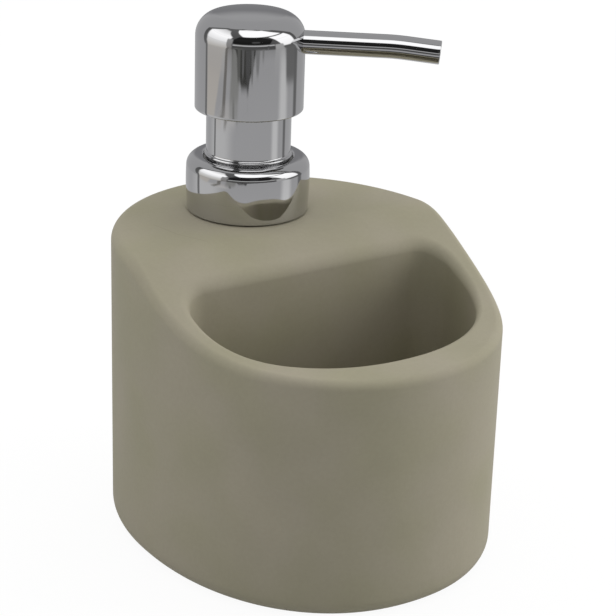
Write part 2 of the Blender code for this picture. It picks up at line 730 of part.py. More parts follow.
def return_spring(axis):
    """One unbroken helix, with its last turn at each end closed up for a flat seat."""
    bottom = CAGE_BOTTOM + CAGE_DISC + SEAT_GAP + WIRE_RADIUS
    top = ROD_FLANGE_BOTTOM - SEAT_GAP - WIRE_RADIUS
    turns = 8
    points_per_turn = 10
    seat_pitch = 2 * WIRE_RADIUS + SPRING_END_GAP
    open_pitch = (top - bottom - 2 * seat_pitch) / (turns - 2)
    points = []
    for step in range(turns * points_per_turn + 1):
        turn = step / points_per_turn
        opened = min(max(turn - 1, 0), turns - 2)
        height = bottom + opened * open_pitch + (turn - opened) * seat_pitch
        angle = FULL_TURN * turn
        points.append((SPRING_RADIUS * math.cos(angle), SPRING_RADIUS * math.sin(angle), height))
    least_gap = min(seat_pitch, open_pitch) - 2 * WIRE_RADIUS
    print("return_spring: least gap between turns", round(least_gap, 5), "m")
    curve = bpy.data.curves.new("return_spring", "CURVE")
    curve.dimensions = "3D"
    curve.bevel_depth = WIRE_RADIUS
    curve.bevel_resolution = 1
    curve.use_fill_caps = True
    line = curve.splines.new("POLY")
    line.points.add(len(points) - 1)
    for point, place_at in zip(line.points, points):
        point.co = (*place_at, 1)
    curve.materials.append(finish("Spring steel", (0.55, 0.55, 0.56), 0.3, 1.0))
    made = bpy.data.objects.new("return_spring", curve)
    bpy.context.collection.objects.link(made)
    made.parent = axis


# Piston rod, its seal, and the stem above them
ROD_RADIUS = 0.0026
ROD_FLANGE_BOTTOM = 0.0010
ROD_FLANGE = 0.0012
SEAL_HEIGHT = 0.0070
SEAL_SLIP = 0.0012
SEAL_REST_BOTTOM = ROD_FLANGE_BOTTOM + ROD_FLANGE + SEAT_GAP
SEAL_REST_TOP = SEAL_REST_BOTTOM + SEAL_HEIGHT
STEM_BOTTOM = SEAL_REST_TOP + SEAL_SLIP + SEAT_GAP
STEM_BORE = ROD_RADIUS + SEAT_GAP


def piston_rod(axis):
    """A hollow rod: spring pilot, stop flange, cross ports, and a spigot inside the stem."""
    bore = 0.0014
    pilot = 0.0025
    flange_radius = SPRING_RADIUS + WIRE_RADIUS
    bore_bottom = SEAL_REST_BOTTOM + SEAT_GAP
    spigot_top = STEM_BOTTOM + 2 * ROD_RADIUS
    outline = [
        (0, ROD_FLANGE_BOTTOM - pilot),
        (ROD_RADIUS, ROD_FLANGE_BOTTOM - pilot),
        (ROD_RADIUS, ROD_FLANGE_BOTTOM),
        (flange_radius, ROD_FLANGE_BOTTOM),
        (flange_radius, ROD_FLANGE_BOTTOM + ROD_FLANGE),
        (ROD_RADIUS, ROD_FLANGE_BOTTOM + ROD_FLANGE),
        (ROD_RADIUS, spigot_top),
        (bore, spigot_top),
        (bore, bore_bottom),
        (0, bore_bottom),
    ]
    made = turned("piston_rod", outline, finish("White polypropylene rod", (0.75, 0.75, 0.73), 0.4), axis)
    port_radius = bore / 2
    half_length = ROD_RADIUS + OVERRUN
    port = turned("port_cutter", rod(port_radius, -half_length, half_length), None, axis, TINY_STEPS)
    port.location.z = bore_bottom + port_radius + SEAT_GAP
    port.rotation_euler.y = QUARTER_TURN
    combine(made, "DIFFERENCE", port)


def piston_seal(axis):
    """A sliding piston with a wiping lip at each end and a groove behind each lip."""
    hub = ROD_RADIUS + SEAT_GAP
    hub_outer = 0.0037
    lip = BARREL_BORE - SEAT_GAP
    waist = 0.0048
    lip_length = 0.0018
    lip_skin = 0.0005
    low, high = SEAL_REST_BOTTOM, SEAL_REST_TOP
    outline = [
        (hub, low),
        (hub_outer, low),
        (hub_outer, low + lip_length - lip_skin),
        (lip - lip_skin, low),
        (lip, low),
        (lip, low + lip_skin),
        (waist, low + lip_length + lip_skin),
        (waist, high - lip_length - lip_skin),
        (lip, high - lip_skin),
        (lip, high),
        (lip - lip_skin, high),
        (hub_outer, high - lip_length + lip_skin),
        (hub_outer, high),
        (hub, high),
    ]
    turned("piston_seal", outline, finish("Low-density polyethylene", (0.72, 0.74, 0.74), 0.45), axis)


def stem_tube(axis):
    top = HUB_BOTTOM + HUB_SOCKET - SEAT_GAP
    steel = finish("Drawn steel stem", (0.60, 0.60, 0.61), 0.25, 1.0)
    turned("stem_tube", ring(STEM_BORE, STEM_RADIUS, STEM_BOTTOM, top), steel, axis, SMALL_STEPS)


# Head: chromed shell, plastic hub and spout, all turned to the spout's heading
HEAD_SKIN = 0.0008
HEAD_TAPER = 0.0002
DOME_RADIUS = 0.0066
DOME_CROWN = 0.0006
HUB_BOTTOM = HEAD_REST_HEIGHT + SLEEVE_COVER + STROKE + SLIDE_GAP
HUB_SOCKET = 0.0038
HUB_RADIUS = 0.0065
HUB_FLANGE = 0.0019
CHANNEL_RADIUS = 0.0023
RISER_RADIUS = 0.0026
SPOUT_START = 0.0050
SPOUT_END = 0.0527


def head_shell(heading, chrome):
    """A thin chromed cup with a domed top, open below, and a round hole for the spout."""
    upper_radius = HEAD_RADIUS - HEAD_TAPER
    lip = HEAD_SKIN / 2
    centre = (upper_radius - DOME_RADIUS, HEAD_TOP - DOME_CROWN - DOME_RADIUS)
    dome_steps = 7
    outline = [
        (HEAD_RADIUS - HEAD_SKIN, HEAD_REST_HEIGHT),
        (HEAD_RADIUS - lip, HEAD_REST_HEIGHT),
        (HEAD_RADIUS, HEAD_REST_HEIGHT + lip),
    ]
    outline += arc(centre, DOME_RADIUS, 0, QUARTER_TURN, dome_steps)
    outline += [(0, HEAD_TOP), (0, HEAD_TOP - HEAD_SKIN)]
    outline += arc(centre, DOME_RADIUS - HEAD_SKIN, QUARTER_TURN, 0, dome_steps)
    shell = turned("head_shell", outline, chrome, heading, ROUND_STEPS)
    hole = turned(
        "spout_hole_cutter",
        rod(SPOUT_RADIUS + SEAT_GAP, HEAD_RADIUS / 2, HEAD_RADIUS + OVERRUN),
        None,
        heading,
        SMALL_STEPS,
    )
    hole.location.z = SPOUT_HEIGHT
    hole.rotation_euler.y = QUARTER_TURN
    combine(shell, "DIFFERENCE", hole)


def head_hub(heading):
    """Plastic insert: a boss with the stem's socket, a flange that fits the shell, and the spout's socket."""
    flange_radius = HEAD_RADIUS - HEAD_TAPER - HEAD_SKIN - SEAT_GAP
    flange_top = HUB_BOTTOM + HUB_FLANGE
    boss_top = SPOUT_HEIGHT + HUB_RADIUS
    socket_radius = STEM_RADIUS + SEAT_GAP
    socket_top = HUB_BOTTOM + HUB_SOCKET
    outline = [
        (socket_radius, HUB_BOTTOM),
        (flange_radius, HUB_BOTTOM),
        (flange_radius, flange_top),
        (HUB_RADIUS, flange_top),
        (HUB_RADIUS, boss_top),
        (0, boss_top),
        (0, SPOUT_HEIGHT + RISER_RADIUS),
        (RISER_RADIUS, SPOUT_HEIGHT + RISER_RADIUS),
        (RISER_RADIUS, socket_top),
        (socket_radius, socket_top),
    ]
    hub = turned("head_hub", outline, finish("White ABS", (0.80, 0.80, 0.78), 0.35), heading)
    socket_wall = 0.0013
    bore_radius = SPOUT_RADIUS + SEAT_GAP
    arm_end = HEAD_RADIUS - HEAD_SKIN - 2 * socket_wall
    arm = turned("hub_arm", rod(bore_radius + socket_wall, socket_radius + SEAT_GAP, arm_end), None, heading)
    bore_outline = [
        (0, 0),
        (CHANNEL_RADIUS, 0),
        (CHANNEL_RADIUS, SPOUT_START - SEAT_GAP),
        (bore_radius, SPOUT_START - SEAT_GAP),
        (bore_radius, HEAD_RADIUS),
        (0, HEAD_RADIUS),
    ]
    bore = turned("hub_bore_cutter", bore_outline, None, heading)
    for lying in (arm, bore):
        lying.location.z = SPOUT_HEIGHT
        lying.rotation_euler.y = QUARTER_TURN
    combine(hub, "UNION", arm)
    combine(hub, "DIFFERENCE", bore)


def spout_path():
    """Points along the spout's middle: straight out, then turning down on an arc, then straight again."""
    bend_start = 0.0375
    bend_end = 0.0435
    bend_angle = math.radians(5.0)
    bend_steps = 4
    bend_radius = (bend_end - bend_start) / math.sin(bend_angle)
    path = [(SPOUT_START, 0.0)]
    for step in range(bend_steps + 1):
        angle = bend_angle * step / bend_steps
        path.append((bend_start + bend_radius * math.sin(angle), -bend_radius * (1 - math.cos(angle))))
    last_reach, last_fall = path[-1]
    path.append((SPOUT_END, last_fall - (SPOUT_END - last_reach) * math.tan(bend_angle)))
    return path


def spout_rings(radius, path):
    """Circles square to the path, one at each of its points."""
    rings = []
    for index, (reach, rise) in enumerate(path):
        before, after = path[max(index - 1, 0)], path[min(index + 1, len(path) - 1)]
        tilt = math.atan2(after[1] - before[1], after[0] - before[0])
        circle = []
        for step in range(SMALL_STEPS):
            angle = FULL_TURN * step / SMALL_STEPS
            side, lift = radius * math.cos(angle), radius * math.sin(angle)
            circle.append((reach - lift * math.sin(tilt), side, SPOUT_HEIGHT + rise + lift * math.cos(tilt)))
        rings.append(circle)
    return rings


def spout_tube(heading, chrome):
    wall = 0.0009
    path = spout_path()
    skin = spout_rings(SPOUT_RADIUS, path) + list(reversed(spout_rings(SPOUT_RADIUS - wall, path)))
    loft("spout_tube", skin, chrome, heading, end="looped")


def main():
    clear_scene()
    ceramic_body()
    axis = empty("PumpAxis", (0, PUMP_Y, BODY_HEIGHT))
    heading = empty("SpoutHeading", (0, 0, 0), SPOUT_HEADING, axis)
    chrome = finish("Chrome plate", (0.72, 0.73, 0.74), 0.06, 1.0)
    for piece in (neck_plug, plug_seal, neck_gasket, collar_liner, pump_barrel, barrel_cap, splash_seal):
        piece(axis)
    for piece in (dip_tube, inlet_ball, ball_cage, return_spring, piston_rod, piston_seal, stem_tube):
        piece(axis)
    collar_shell(axis, chrome)
    guide_sleeve(axis, chrome)
    head_shell(heading, chrome)
    head_hub(heading)
    spout_tube(heading, chrome)


main()
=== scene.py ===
"""The look of a ceramic soap dispenser with a sponge pocket and a chromed lotion pump.

Lengths are in metres, in the frame of the loaded model: +Z up, the pocket opens towards -Y, and the pump
stands at +Y. The ceramic and the chromed pieces get finer surfaces than the loaded ones, worked out from
sizes, and so does the spring. Every other piece keeps its loaded shape and gets its finish here.
"""

import json
import math

import bmesh
import bpy
import numpy as np
from bpy.props import FloatProperty, FloatVectorProperty, IntProperty, PointerProperty
from mathutils import Matrix, Vector


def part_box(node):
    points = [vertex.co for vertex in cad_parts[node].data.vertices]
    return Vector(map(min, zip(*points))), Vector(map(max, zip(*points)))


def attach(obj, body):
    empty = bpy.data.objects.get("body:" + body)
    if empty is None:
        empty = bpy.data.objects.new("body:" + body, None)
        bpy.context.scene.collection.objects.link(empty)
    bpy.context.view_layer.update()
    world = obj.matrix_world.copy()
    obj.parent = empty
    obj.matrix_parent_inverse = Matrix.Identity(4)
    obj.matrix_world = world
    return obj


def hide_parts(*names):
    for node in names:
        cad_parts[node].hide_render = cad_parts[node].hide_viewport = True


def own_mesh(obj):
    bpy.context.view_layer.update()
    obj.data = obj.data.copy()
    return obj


bl_info = {
    "name": "Ceramic soap dispenser",
    "version": (1, 0, 0),
    "blender": (4, 5, 0),
    "location": "3D View > Sidebar > Dispenser",
    "description": "Builds the surfaces, finishes and studio of a soap dispenser with a sponge pocket",
    "category": "Object",
}

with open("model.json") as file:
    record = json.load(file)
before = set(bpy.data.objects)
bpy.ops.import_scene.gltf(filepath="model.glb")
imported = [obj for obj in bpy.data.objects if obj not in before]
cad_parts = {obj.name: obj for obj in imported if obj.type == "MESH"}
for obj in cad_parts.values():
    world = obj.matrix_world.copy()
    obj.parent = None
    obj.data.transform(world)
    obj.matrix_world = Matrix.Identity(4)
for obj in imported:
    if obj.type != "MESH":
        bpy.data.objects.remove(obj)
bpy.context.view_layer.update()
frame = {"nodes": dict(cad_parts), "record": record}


def swivel_place():
    """The point where the pump's axis meets the flat top of the ceramic."""
    joints = frame["record"]["behaviour"]["joints"]
    return next(joint["pos_m"] for joint in joints if joint["name"] == "head_swivel")


def node_sizes(node):
    """Outer radius, lowest and highest point of a round node, counted from the flat top."""
    low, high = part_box(node)
    return (high.x - low.x) / 2, low.z - TOP, high.z - TOP


_, PUMP_Y, TOP = swivel_place()
BODY_LOW, BODY_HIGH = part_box("ceramic_body")
COLLAR_RADIUS, COLLAR_BOTTOM, COLLAR_TOP = node_sizes("collar_shell")
SLEEVE_FOOT_RADIUS, SLEEVE_BOTTOM, SLEEVE_TOP = node_sizes("guide_sleeve")
HEAD_RADIUS, HEAD_BOTTOM, HEAD_TOP = node_sizes("head_shell")
WELD = 1e-7
LONG_RUN = 0.002
HELD_SHARE = 0.02
SCUFFS = (((-0.0309, 0.0313), (-0.0284, 0.0189)), ((-0.0293, 0.0218), (-0.0240, 0.0111)))
SCUFF_WIDTH = 0.00016
# The part of half a scuff's length that shows in full, before it fades to its end.
SCUFF_FULL = 0.35
WIPED_HEIGHT = 0.0004
SATIN_SPREAD = 0.05
# A noise keeps to this middle part of its range.
NOISE_MIDDLE = {"From Min": 0.3, "From Max": 0.7}


def srgb(code):
    """Linear red, green and blue of an sRGB hex colour."""
    values = np.array([int(code[start : start + 2], 16) for start in (1, 3, 5)]) / 255
    linear = np.where(values <= 0.04045, values / 12.92, ((values + 0.055) / 1.055) ** 2.4)
    return tuple(float(value) for value in linear)


def number(name, default, description, kind=FloatProperty, **settings):
    return kind(name=name, default=default, description=description, **settings)


def length(name, default, description):
    return number(name, default, description, min=0.0, unit="LENGTH", precision=5)


def colour(name, code, description):
    return FloatVectorProperty(
        name=name, default=srgb(code), min=0.0, max=1.0, size=3, subtype="COLOR", description=description
    )


class CeramicSizes(bpy.types.PropertyGroup):
    """Sizes of the ceramic body, as in the solid model, but the pocket is up to 3.3 mm deeper here."""

    back_depth: length("Back depth", 0.0573, "From the widest line of the plan to its back")
    front_fullness: number("Front fullness", 2.15, "Power of the front's superellipse")
    back_fullness: number("Back fullness", 2.04, "Power of the back's superellipse")
    rim_height: length("Rim height", 0.0680, "Height of the front rim")
    ramp_foot_height: length("Ramp foot height", 0.0700, "Height where the ramp meets the rim's slope")
    pump_to_ramp: length("Pump to ramp", 0.0219, "From the pump's axis to the ramp's top")
    ramp_length: length("Ramp length", 0.0308, "From the ramp's top to its foot, along the depth")
    ramp_top_softness: length("Ramp top softness", 0.0045, "Half the length of its rounding")
    ramp_foot_softness: length("Ramp foot softness", 0.0176, "Half the length of its rounding")
    wall: length("Wall", 0.0055, "Thickness of the reservoir's wall")
    neck_wall: length("Neck wall", 0.0070, "Thickness of the reservoir's roof")
    floor: length("Floor", 0.0080, "Thickness of the reservoir's floor")
    divider: length("Divider", 0.0060, "Thickness of the wall between pocket and reservoir")
    pocket_side: length("Pocket side wall", 0.0088, "Wall beside the pocket")
    pocket_front: length("Pocket front wall", 0.0116, "Wall in front of the pocket")
    ramp_to_pocket: length("Ramp to pocket", 0.0118, "From the ramp's top to the pocket's back")
    pocket_corner: length("Pocket corner", 0.0082, "Radius of the pocket's two back corners")
    pocket_floor: length("Pocket floor", 0.0100, "Height of the pocket's floor")
    pocket_floor_rounding: length("Pocket floor rounding", 0.0080, "Radius round the pocket's floor")
    pocket_taper: length("Pocket taper", 0.0008, "How much narrower the pocket is at its floor")
    flat_edge: length("Flat edge rounding", 0.0027, "Radius of the edge round the flat top")
    rim_edge: length("Rim edge rounding", 0.0024, "Radius of the edge round the front rim")
    rim_front: length("Rim rounding in front", 0.0014, "Radius of the pocket's rim in front")
    rim_back: length("Rim rounding at the back", 0.0030, "Radius of the pocket's rim under the ramp")
    foot_rounding: length("Foot rounding", 0.0052, "Radius of the lower edge")
    foot_ring: length("Foot ring", 0.0080, "Width of the ring that the body stands on")
    foot_recess: length("Foot recess", 0.0012, "How far the underside is drawn in")
    neck_hole: length("Neck hole", 0.0139, "Radius of the hole under the pump")
    columns: number("Columns", 384, "Points round the body", IntProperty, min=48)


class PumpSizes(bpy.types.PropertyGroup):
    """Sizes of the chromed pieces and of the spring."""

    collar_upper_radius: length("Collar upper radius", 0.01750, "Radius under the collar's shoulder")
    collar_foot_radius: length("Collar foot radius", 0.01735, "Radius at the collar's foot")
    collar_waist: length("Collar waist", 0.0085, "Height where the collar is widest")
    collar_shoulder: length("Collar shoulder", 0.0031, "Radius of the collar's shoulder")
    collar_skin: length("Collar skin", 0.0007, "Thickness of the collar's cover")
    collar_lip: length("Collar lip", 0.0009, "Radius of the edge round the collar's hole")
    sleeve_bead: length("Sleeve bead", 0.00055, "Radius of the bead at the sleeve's foot")
    bead_overhang: length("Bead overhang", 0.00015, "How far the bead stands past the sleeve's foot")
    sleeve_edge: length("Sleeve edge", 0.0008, "Radius of the sleeve's upper edge")
    sleeve_radius: length("Sleeve radius", 0.0120, "Radius of the guide sleeve")
    sleeve_skin: length("Sleeve skin", 0.0009, "Thickness of the sleeve's wall")
    stem_hole: length("Stem hole", 0.0044, "Radius of the hole for the stem")
    head_skin: length("Head skin", 0.0008, "Thickness of the head's shell")
    dome_radius: length("Dome radius", 0.0066, "Radius of the head's shoulder")
    spout_radius: length("Spout radius", 0.0033, "Outer radius of the spout")
    spout_wall: length("Spout wall", 0.0009, "Thickness of the spout's wall")
    spout_lip: length("Spout lip", 0.00025, "Radius of both edges round the spout's mouth")
    spout_gap: length("Spout gap", 0.0004, "Gap round the spout where it enters the head")
    spout_height: length("Spout height", 0.0491, "Height of the spout's middle over the flat top")
    spout_start: length("Spout start", 0.0050, "Where the spout starts, from the pump's axis")
    spout_bend_start: length("Spout bend start", 0.0375, "Where the bend starts")
    spout_bend_end: length("Spout bend end", 0.0435, "Where the bend ends")
    spout_end: length("Spout end", 0.0527, "Where the spout ends")
    spout_bend: number("Spout bend", math.radians(5), "Bend down", subtype="ANGLE")
    spout_heading: number("Spout heading", math.radians(-38), "Turn of the spout about Z", subtype="ANGLE")
    columns: number("Columns", 192, "Points round each chromed piece", IntProperty, min=24)
    wire_radius: length("Spring wire", 0.0004, "Radius of the spring's wire")
    spring_radius: length("Spring radius", 0.0042, "From the pump's axis to the middle of the wire")
    spring_end_gap: length("Spring end gap", 0.00045, "Gap between the closed turns at each end")
    spring_turns: number("Spring turns", 8, "Turns of the spring, ends included", IntProperty, min=3)
    spring_easing: number("Spring easing", 0.3, "Turns over which the pitch changes")


class FinishColours(bpy.types.PropertyGroup):
    """Colours of the finishes."""

    glaze: colour("Glaze", "#9B9581", "Matt glaze, its middle tone")
    glaze_olive: colour("Olive glaze", "#959376", "Matt glaze where it is greener")
    glaze_taupe: colour("Taupe glaze", "#9F988A", "Matt glaze where it is redder")
    raw_clay: colour("Raw clay", "#B9AE98", "Unglazed clay under the foot")
    chrome: colour("Chrome", "#C5C5C6", "Chrome plating")
    silicone: colour("Silicone", "#B4B6B4", "Silicone sleeve")
    polypropylene: colour("Polypropylene", "#E2E2DC", "White moulded plastic")
    milky: colour("Natural plastic", "#DFE3DF", "Uncoloured plastic")
    grey_plastic: colour("Grey plastic", "#8E8E8C", "Grey moulded plastic")
    steel: colour("Steel", "#B5B5B8", "Stainless steel")
    floor: colour("Floor", "#D8D8D8", "Studio floor")


def corner(centre, radius, start, end, steps=12):
    """An arc as (radius, height) rows: centre + radius * (cos a, sin a), a from start to end in degrees."""
    angles = np.radians(np.linspace(start, end, steps))
    return np.c_[centre[0] + radius * np.cos(angles), centre[1] + radius * np.sin(angles)]


def place(name, mesh, body, nodes, finish):
    """Shades a mesh, gives it its finish, lets it ride on a body and stand for the loaded nodes."""
    mesh.shade_smooth()
    mesh.set_sharp_from_angle(angle=math.radians(38))
    mesh.materials.append(finish)
    piece = bpy.data.objects.new(name, mesh)
    bpy.context.collection.objects.link(piece)
    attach(piece, body)
    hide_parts(*nodes)
    return piece


def surface(name, rows, looped=False):
    """A mesh over a grid of points that closes round its columns, and round its rows too if looped.

    Rows that shrink to one point are welded into a pole.
    """
    count, columns = rows.shape[:2]
    index = np.arange(count * columns).reshape(count, columns)
    if looped:
        index = np.vstack([index, index[:1]])
    beside = np.roll(index, -1, axis=1)
    quads = np.stack([index[:-1], beside[:-1], beside[1:], index[1:]], axis=-1).reshape(-1, 4)
    mesh = bpy.data.meshes.new(name)
    mesh.from_pydata(rows.reshape(-1, 3).tolist(), [], quads.tolist())
    shape = bmesh.new()
    shape.from_mesh(mesh)
    bmesh.ops.remove_doubles(shape, verts=shape.verts, dist=WELD)
    bmesh.ops.recalc_face_normals(shape, faces=shape.faces)
    shape.to_mesh(mesh)
    shape.free()
    return mesh


def held(outline):
    """The outline with a point near both ends of each long straight run, so that it is shaded straight."""
    step = np.diff(outline, axis=0)
    run = np.hypot(step[:, 0], step[:, 1])
    long = np.flatnonzero(run > LONG_RUN)
    ends = [outline[long] + share * step[long] for share in (HELD_SHARE, 1 - HELD_SHARE)]
    return np.insert(outline, np.repeat(long + 1, 2), np.stack(ends, axis=1).reshape(-1, 2), axis=0)


def turned(name, outline, columns):
    """A surface of revolution on the pump's axis: x = r cos t, y = axis + r sin t, z = top + h."""
    outline = held(outline)
    angles = np.linspace(0, 2 * math.pi, columns, endpoint=False)
    radius, height = outline[:, :1], outline[:, 1:]
    across = radius * np.cos(angles)
    along = PUMP_Y + radius * np.sin(angles)
    up = TOP + height + 0 * angles
    return surface(name, np.stack([across, along, up], axis=-1), looped=outline[0, 0] > 0)


def cut(mesh, cutters):
    """The mesh with the cutters' meshes taken away, as a new mesh."""
    target = bpy.data.objects.new(mesh.name, mesh)
    bpy.context.collection.objects.link(target)
    helpers = []
    for cutter in cutters:
        helper = bpy.data.objects.new(cutter.name, cutter)
        bpy.context.collection.objects.link(helper)
        modifier = target.modifiers.new(cutter.name, "BOOLEAN")
        modifier.operation = "DIFFERENCE"
        modifier.object = helper
        modifier.solver = "EXACT"
        helpers.append(helper)
    shown = target.evaluated_get(bpy.context.evaluated_depsgraph_get())
    result = bpy.data.meshes.new_from_object(shown)
    for helper in helpers + [target]:
        bpy.data.objects.remove(helper, do_unlink=True)
    return result


def superellipse(angle, half_width, depth, power, inset):
    """Points of |x / a| ** n + |y / b| ** n = 1 in the given directions, moved inwards along its normal."""
    across, along = np.cos(angle), np.sin(angle)
    reach = (np.abs(across / half_width) ** power + np.abs(along / depth) ** power) ** (-1 / power)
    x, y = reach * across, reach * along
    slope_x = np.sign(x) * np.abs(x / half_width) ** (power - 1) / half_width
    slope_y = np.sign(y) * np.abs(y / depth) ** (power - 1) / depth
    steepness = np.hypot(slope_x, slope_y)
    return np.c_[x - inset * slope_x / steepness, y - inset * slope_y / steepness]


def plan_curve(sizes, inset, steps=4096):
    """The body's plan, moved inwards, as dense points: half a superellipse in front, and half one behind."""
    angle = np.linspace(0, 2 * math.pi, steps, endpoint=False)
    behind = np.sin(angle) > 0
    depth = np.where(behind, sizes.back_depth, BODY_HIGH.y - BODY_LOW.y - sizes.back_depth)
    power = np.where(behind, sizes.back_fullness, sizes.front_fullness)
    return superellipse(angle, BODY_HIGH.x, depth, power, inset) + (0, BODY_HIGH.y - sizes.back_depth)


def pocket_curve(sizes, inset, steps=1024):
    """The pocket's D, moved inwards: half a superellipse in front, two round corners and a straight back."""
    radius = sizes.pocket_corner - inset
    middle_y = PUMP_Y - sizes.pump_to_ramp - sizes.ramp_to_pocket - sizes.pocket_corner
    half_width = BODY_HIGH.x - sizes.pocket_side
    depth = middle_y - BODY_LOW.y - sizes.pocket_front
    angle = np.linspace(math.pi, 2 * math.pi, steps)
    front = superellipse(angle, half_width, depth, sizes.front_fullness, inset) + (0, middle_y)
    turn = np.linspace(0, math.pi / 2, steps // 8)
    shift = half_width - sizes.pocket_corner
    right = np.c_[shift + radius * np.cos(turn), middle_y + radius * np.sin(turn)]
    left = right[::-1] * (-1, 1)
    straight = np.linspace(right[-1], left[0], steps // 2)
    return np.vstack([front, right[1:], straight[1:-1], left[:-1]])


def along_rays(curve, centre, bearings):
    """The points where rays from a centre, at the given bearings, meet a closed curve round it."""
    offset = curve - centre
    angle = np.arctan2(offset[:, 1], offset[:, 0])
    order = np.argsort(angle)
    reach = np.hypot(offset[:, 0], offset[:, 1])[order]
    found = np.interp(bearings, angle[order], reach, period=2 * math.pi)
    return centre + found[:, None] * np.c_[np.cos(bearings), np.sin(bearings)]


def soft_step(distance, softness):
    """Zero below, the distance above, and (d + s)^2 / 4s between, so that a crease is rounded."""
    eased = (distance + softness) ** 2 / (4 * softness)
    return np.where(distance <= -softness, 0.0, np.where(distance >= softness, distance, eased))


def top_height(sizes, y):
    """Height of the top along the depth: flat, less the ramp's fall, eased into the rim's slope."""
    ramp_top = PUMP_Y - sizes.pump_to_ramp
    ramp_foot = ramp_top - sizes.ramp_length
    ramp_slope = (TOP - sizes.ramp_foot_height) / sizes.ramp_length
    rim_slope = (sizes.ramp_foot_height - sizes.rim_height) / (ramp_foot - BODY_LOW.y)
    past_top = soft_step(ramp_top - y, sizes.ramp_top_softness)
    past_foot = soft_step(ramp_foot - y, sizes.ramp_foot_softness)
    return TOP - ramp_slope * (past_top - past_foot) - rim_slope * past_foot


def raised(points, height):
    """Plan points with a height each."""
    return np.c_[points, np.broadcast_to(height, len(points))]


def blended(first, last, steps):
    """Rows from one row of points to another, without the first: first + s * (last - first)."""
    share = np.linspace(0, 1, steps + 1)[1:, None, None]
    return first + share * (last - first)


def ceramic_rows(sizes, wall_rows=14, top_rows=56, pocket_rows=12, floor_rows=6, arc_rows=13):
    """The body's skin from the middle of its underside, up the wall, across the top and down into the pocket.

    Each row holds one point on every ray from the pocket's middle, so the top is ruled from edge to rim.
    """
    centre = np.array([0.0, (BODY_LOW.y + PUMP_Y - sizes.pump_to_ramp - sizes.ramp_to_pocket) / 2])
    bearings = np.linspace(-math.pi / 2, 1.5 * math.pi, sizes.columns, endpoint=False)
    quarter = np.radians(np.linspace(0, 90, arc_rows))

    def outer(inset):
        return along_rays(plan_curve(sizes, inset), centre, bearings)

    def inner(inset):
        return along_rays(pocket_curve(sizes, inset), centre, bearings)

    ring_width = sizes.foot_rounding + sizes.foot_ring
    ring_inside = outer(ring_width)
    rows = [raised(0 * ring_inside + centre, sizes.foot_recess)]
    for share in (0.25, 0.5, 0.75, 0.96):
        rows.append(raised(centre + share * (ring_inside - centre), sizes.foot_recess))
    for angle in quarter[::3]:
        drawn_in = ring_width - sizes.foot_recess * (1 - np.cos(angle))
        rows.append(raised(outer(drawn_in), sizes.foot_recess * (1 - np.sin(angle))))
    for angle in quarter:
        spread = sizes.foot_rounding * (1 - np.sin(angle))
        rows.append(raised(outer(spread), sizes.foot_rounding * (1 - np.cos(angle))))
    wall_top = outer(0)
    ramp_top = PUMP_Y - sizes.pump_to_ramp
    share = np.clip((ramp_top - wall_top[:, 1]) / sizes.ramp_length, 0, 1)
    rounding = sizes.flat_edge + (sizes.rim_edge - sizes.flat_edge) * share
    wall_end = raised(wall_top, top_height(sizes, wall_top[:, 1]) - rounding)
    rows.extend(blended(rows[-1], wall_end, wall_rows))
    inward = (outer(sizes.flat_edge) - wall_top) / sizes.flat_edge
    for angle in quarter[1:]:
        points = wall_top + inward * (rounding * (1 - np.cos(angle)))[:, None]
        rows.append(raised(points, top_height(sizes, points[:, 1]) - rounding * (1 - np.sin(angle))))
    top_outer = rows[-1][:, :2]
    wall = inner(0)
    outward = (inner(-sizes.rim_back) - wall) / sizes.rim_back
    depth_share = (wall[:, 1] - wall[:, 1].min()) / np.ptp(wall[:, 1])
    rim = sizes.rim_front + (sizes.rim_back - sizes.rim_front) * depth_share**2 * (3 - 2 * depth_share)
    top_inner = wall + outward * rim[:, None]
    for points in blended(top_outer, top_inner, top_rows):
        rows.append(raised(points, top_height(sizes, points[:, 1])))
    for angle in quarter[-2::-1]:
        points = wall + outward * (rim * (1 - np.cos(angle)))[:, None]
        rows.append(raised(points, top_height(sizes, points[:, 1]) - rim * (1 - np.sin(angle))))
    deep = raised(inner(sizes.pocket_taper), sizes.pocket_floor + sizes.pocket_floor_rounding)
    rows.extend(blended(rows[-1], deep, pocket_rows))
    for angle in quarter[1:]:
        inset = sizes.pocket_taper + sizes.pocket_floor_rounding * (1 - np.cos(angle))
        height = sizes.pocket_floor + sizes.pocket_floor_rounding * (1 - np.sin(angle))
        rows.append(raised(inner(inset), height))
    rows.extend(blended(rows[-1], raised(0 * top_inner + centre, sizes.pocket_floor), floor_rows))
    return np.array(rows)


def reservoir_rows(sizes, arc_rows=7):
    """The hollow behind the divider, from the middle of its floor up to the middle of its roof."""
    divider_y = PUMP_Y - sizes.pump_to_ramp - sizes.ramp_to_pocket + sizes.divider
    centre = np.array([0.0, (divider_y + BODY_HIGH.y) / 2])
    bearings = np.linspace(0, 2 * math.pi, sizes.columns // 3, endpoint=False)
    corner_radius = sizes.foot_rounding
    quarter = np.radians(np.linspace(0, 90, arc_rows))

    def outline(inset):
        curve = plan_curve(sizes, sizes.wall + inset)
        curve[:, 1] = np.maximum(curve[:, 1], divider_y + inset)
        return along_rays(curve, centre, bearings)

    def roof(points):
        return raised(points, top_height(sizes, points[:, 1]) - sizes.neck_wall)

    rows = [raised(0 * outline(0) + centre, sizes.floor)]
    for angle in quarter:
        inset = corner_radius * (1 - np.sin(angle))
        rows.append(raised(outline(inset), sizes.floor + corner_radius * (1 - np.cos(angle))))
    for angle in quarter:
        points = outline(corner_radius * (1 - np.cos(angle)))
        rows.append(roof(points) - (0, 0, corner_radius * (1 - np.sin(angle))))
    for share in (0.75, 0.5, 0.25, 0.0):
        rows.append(roof(centre + share * (outline(corner_radius) - centre)))
    return np.array(rows)


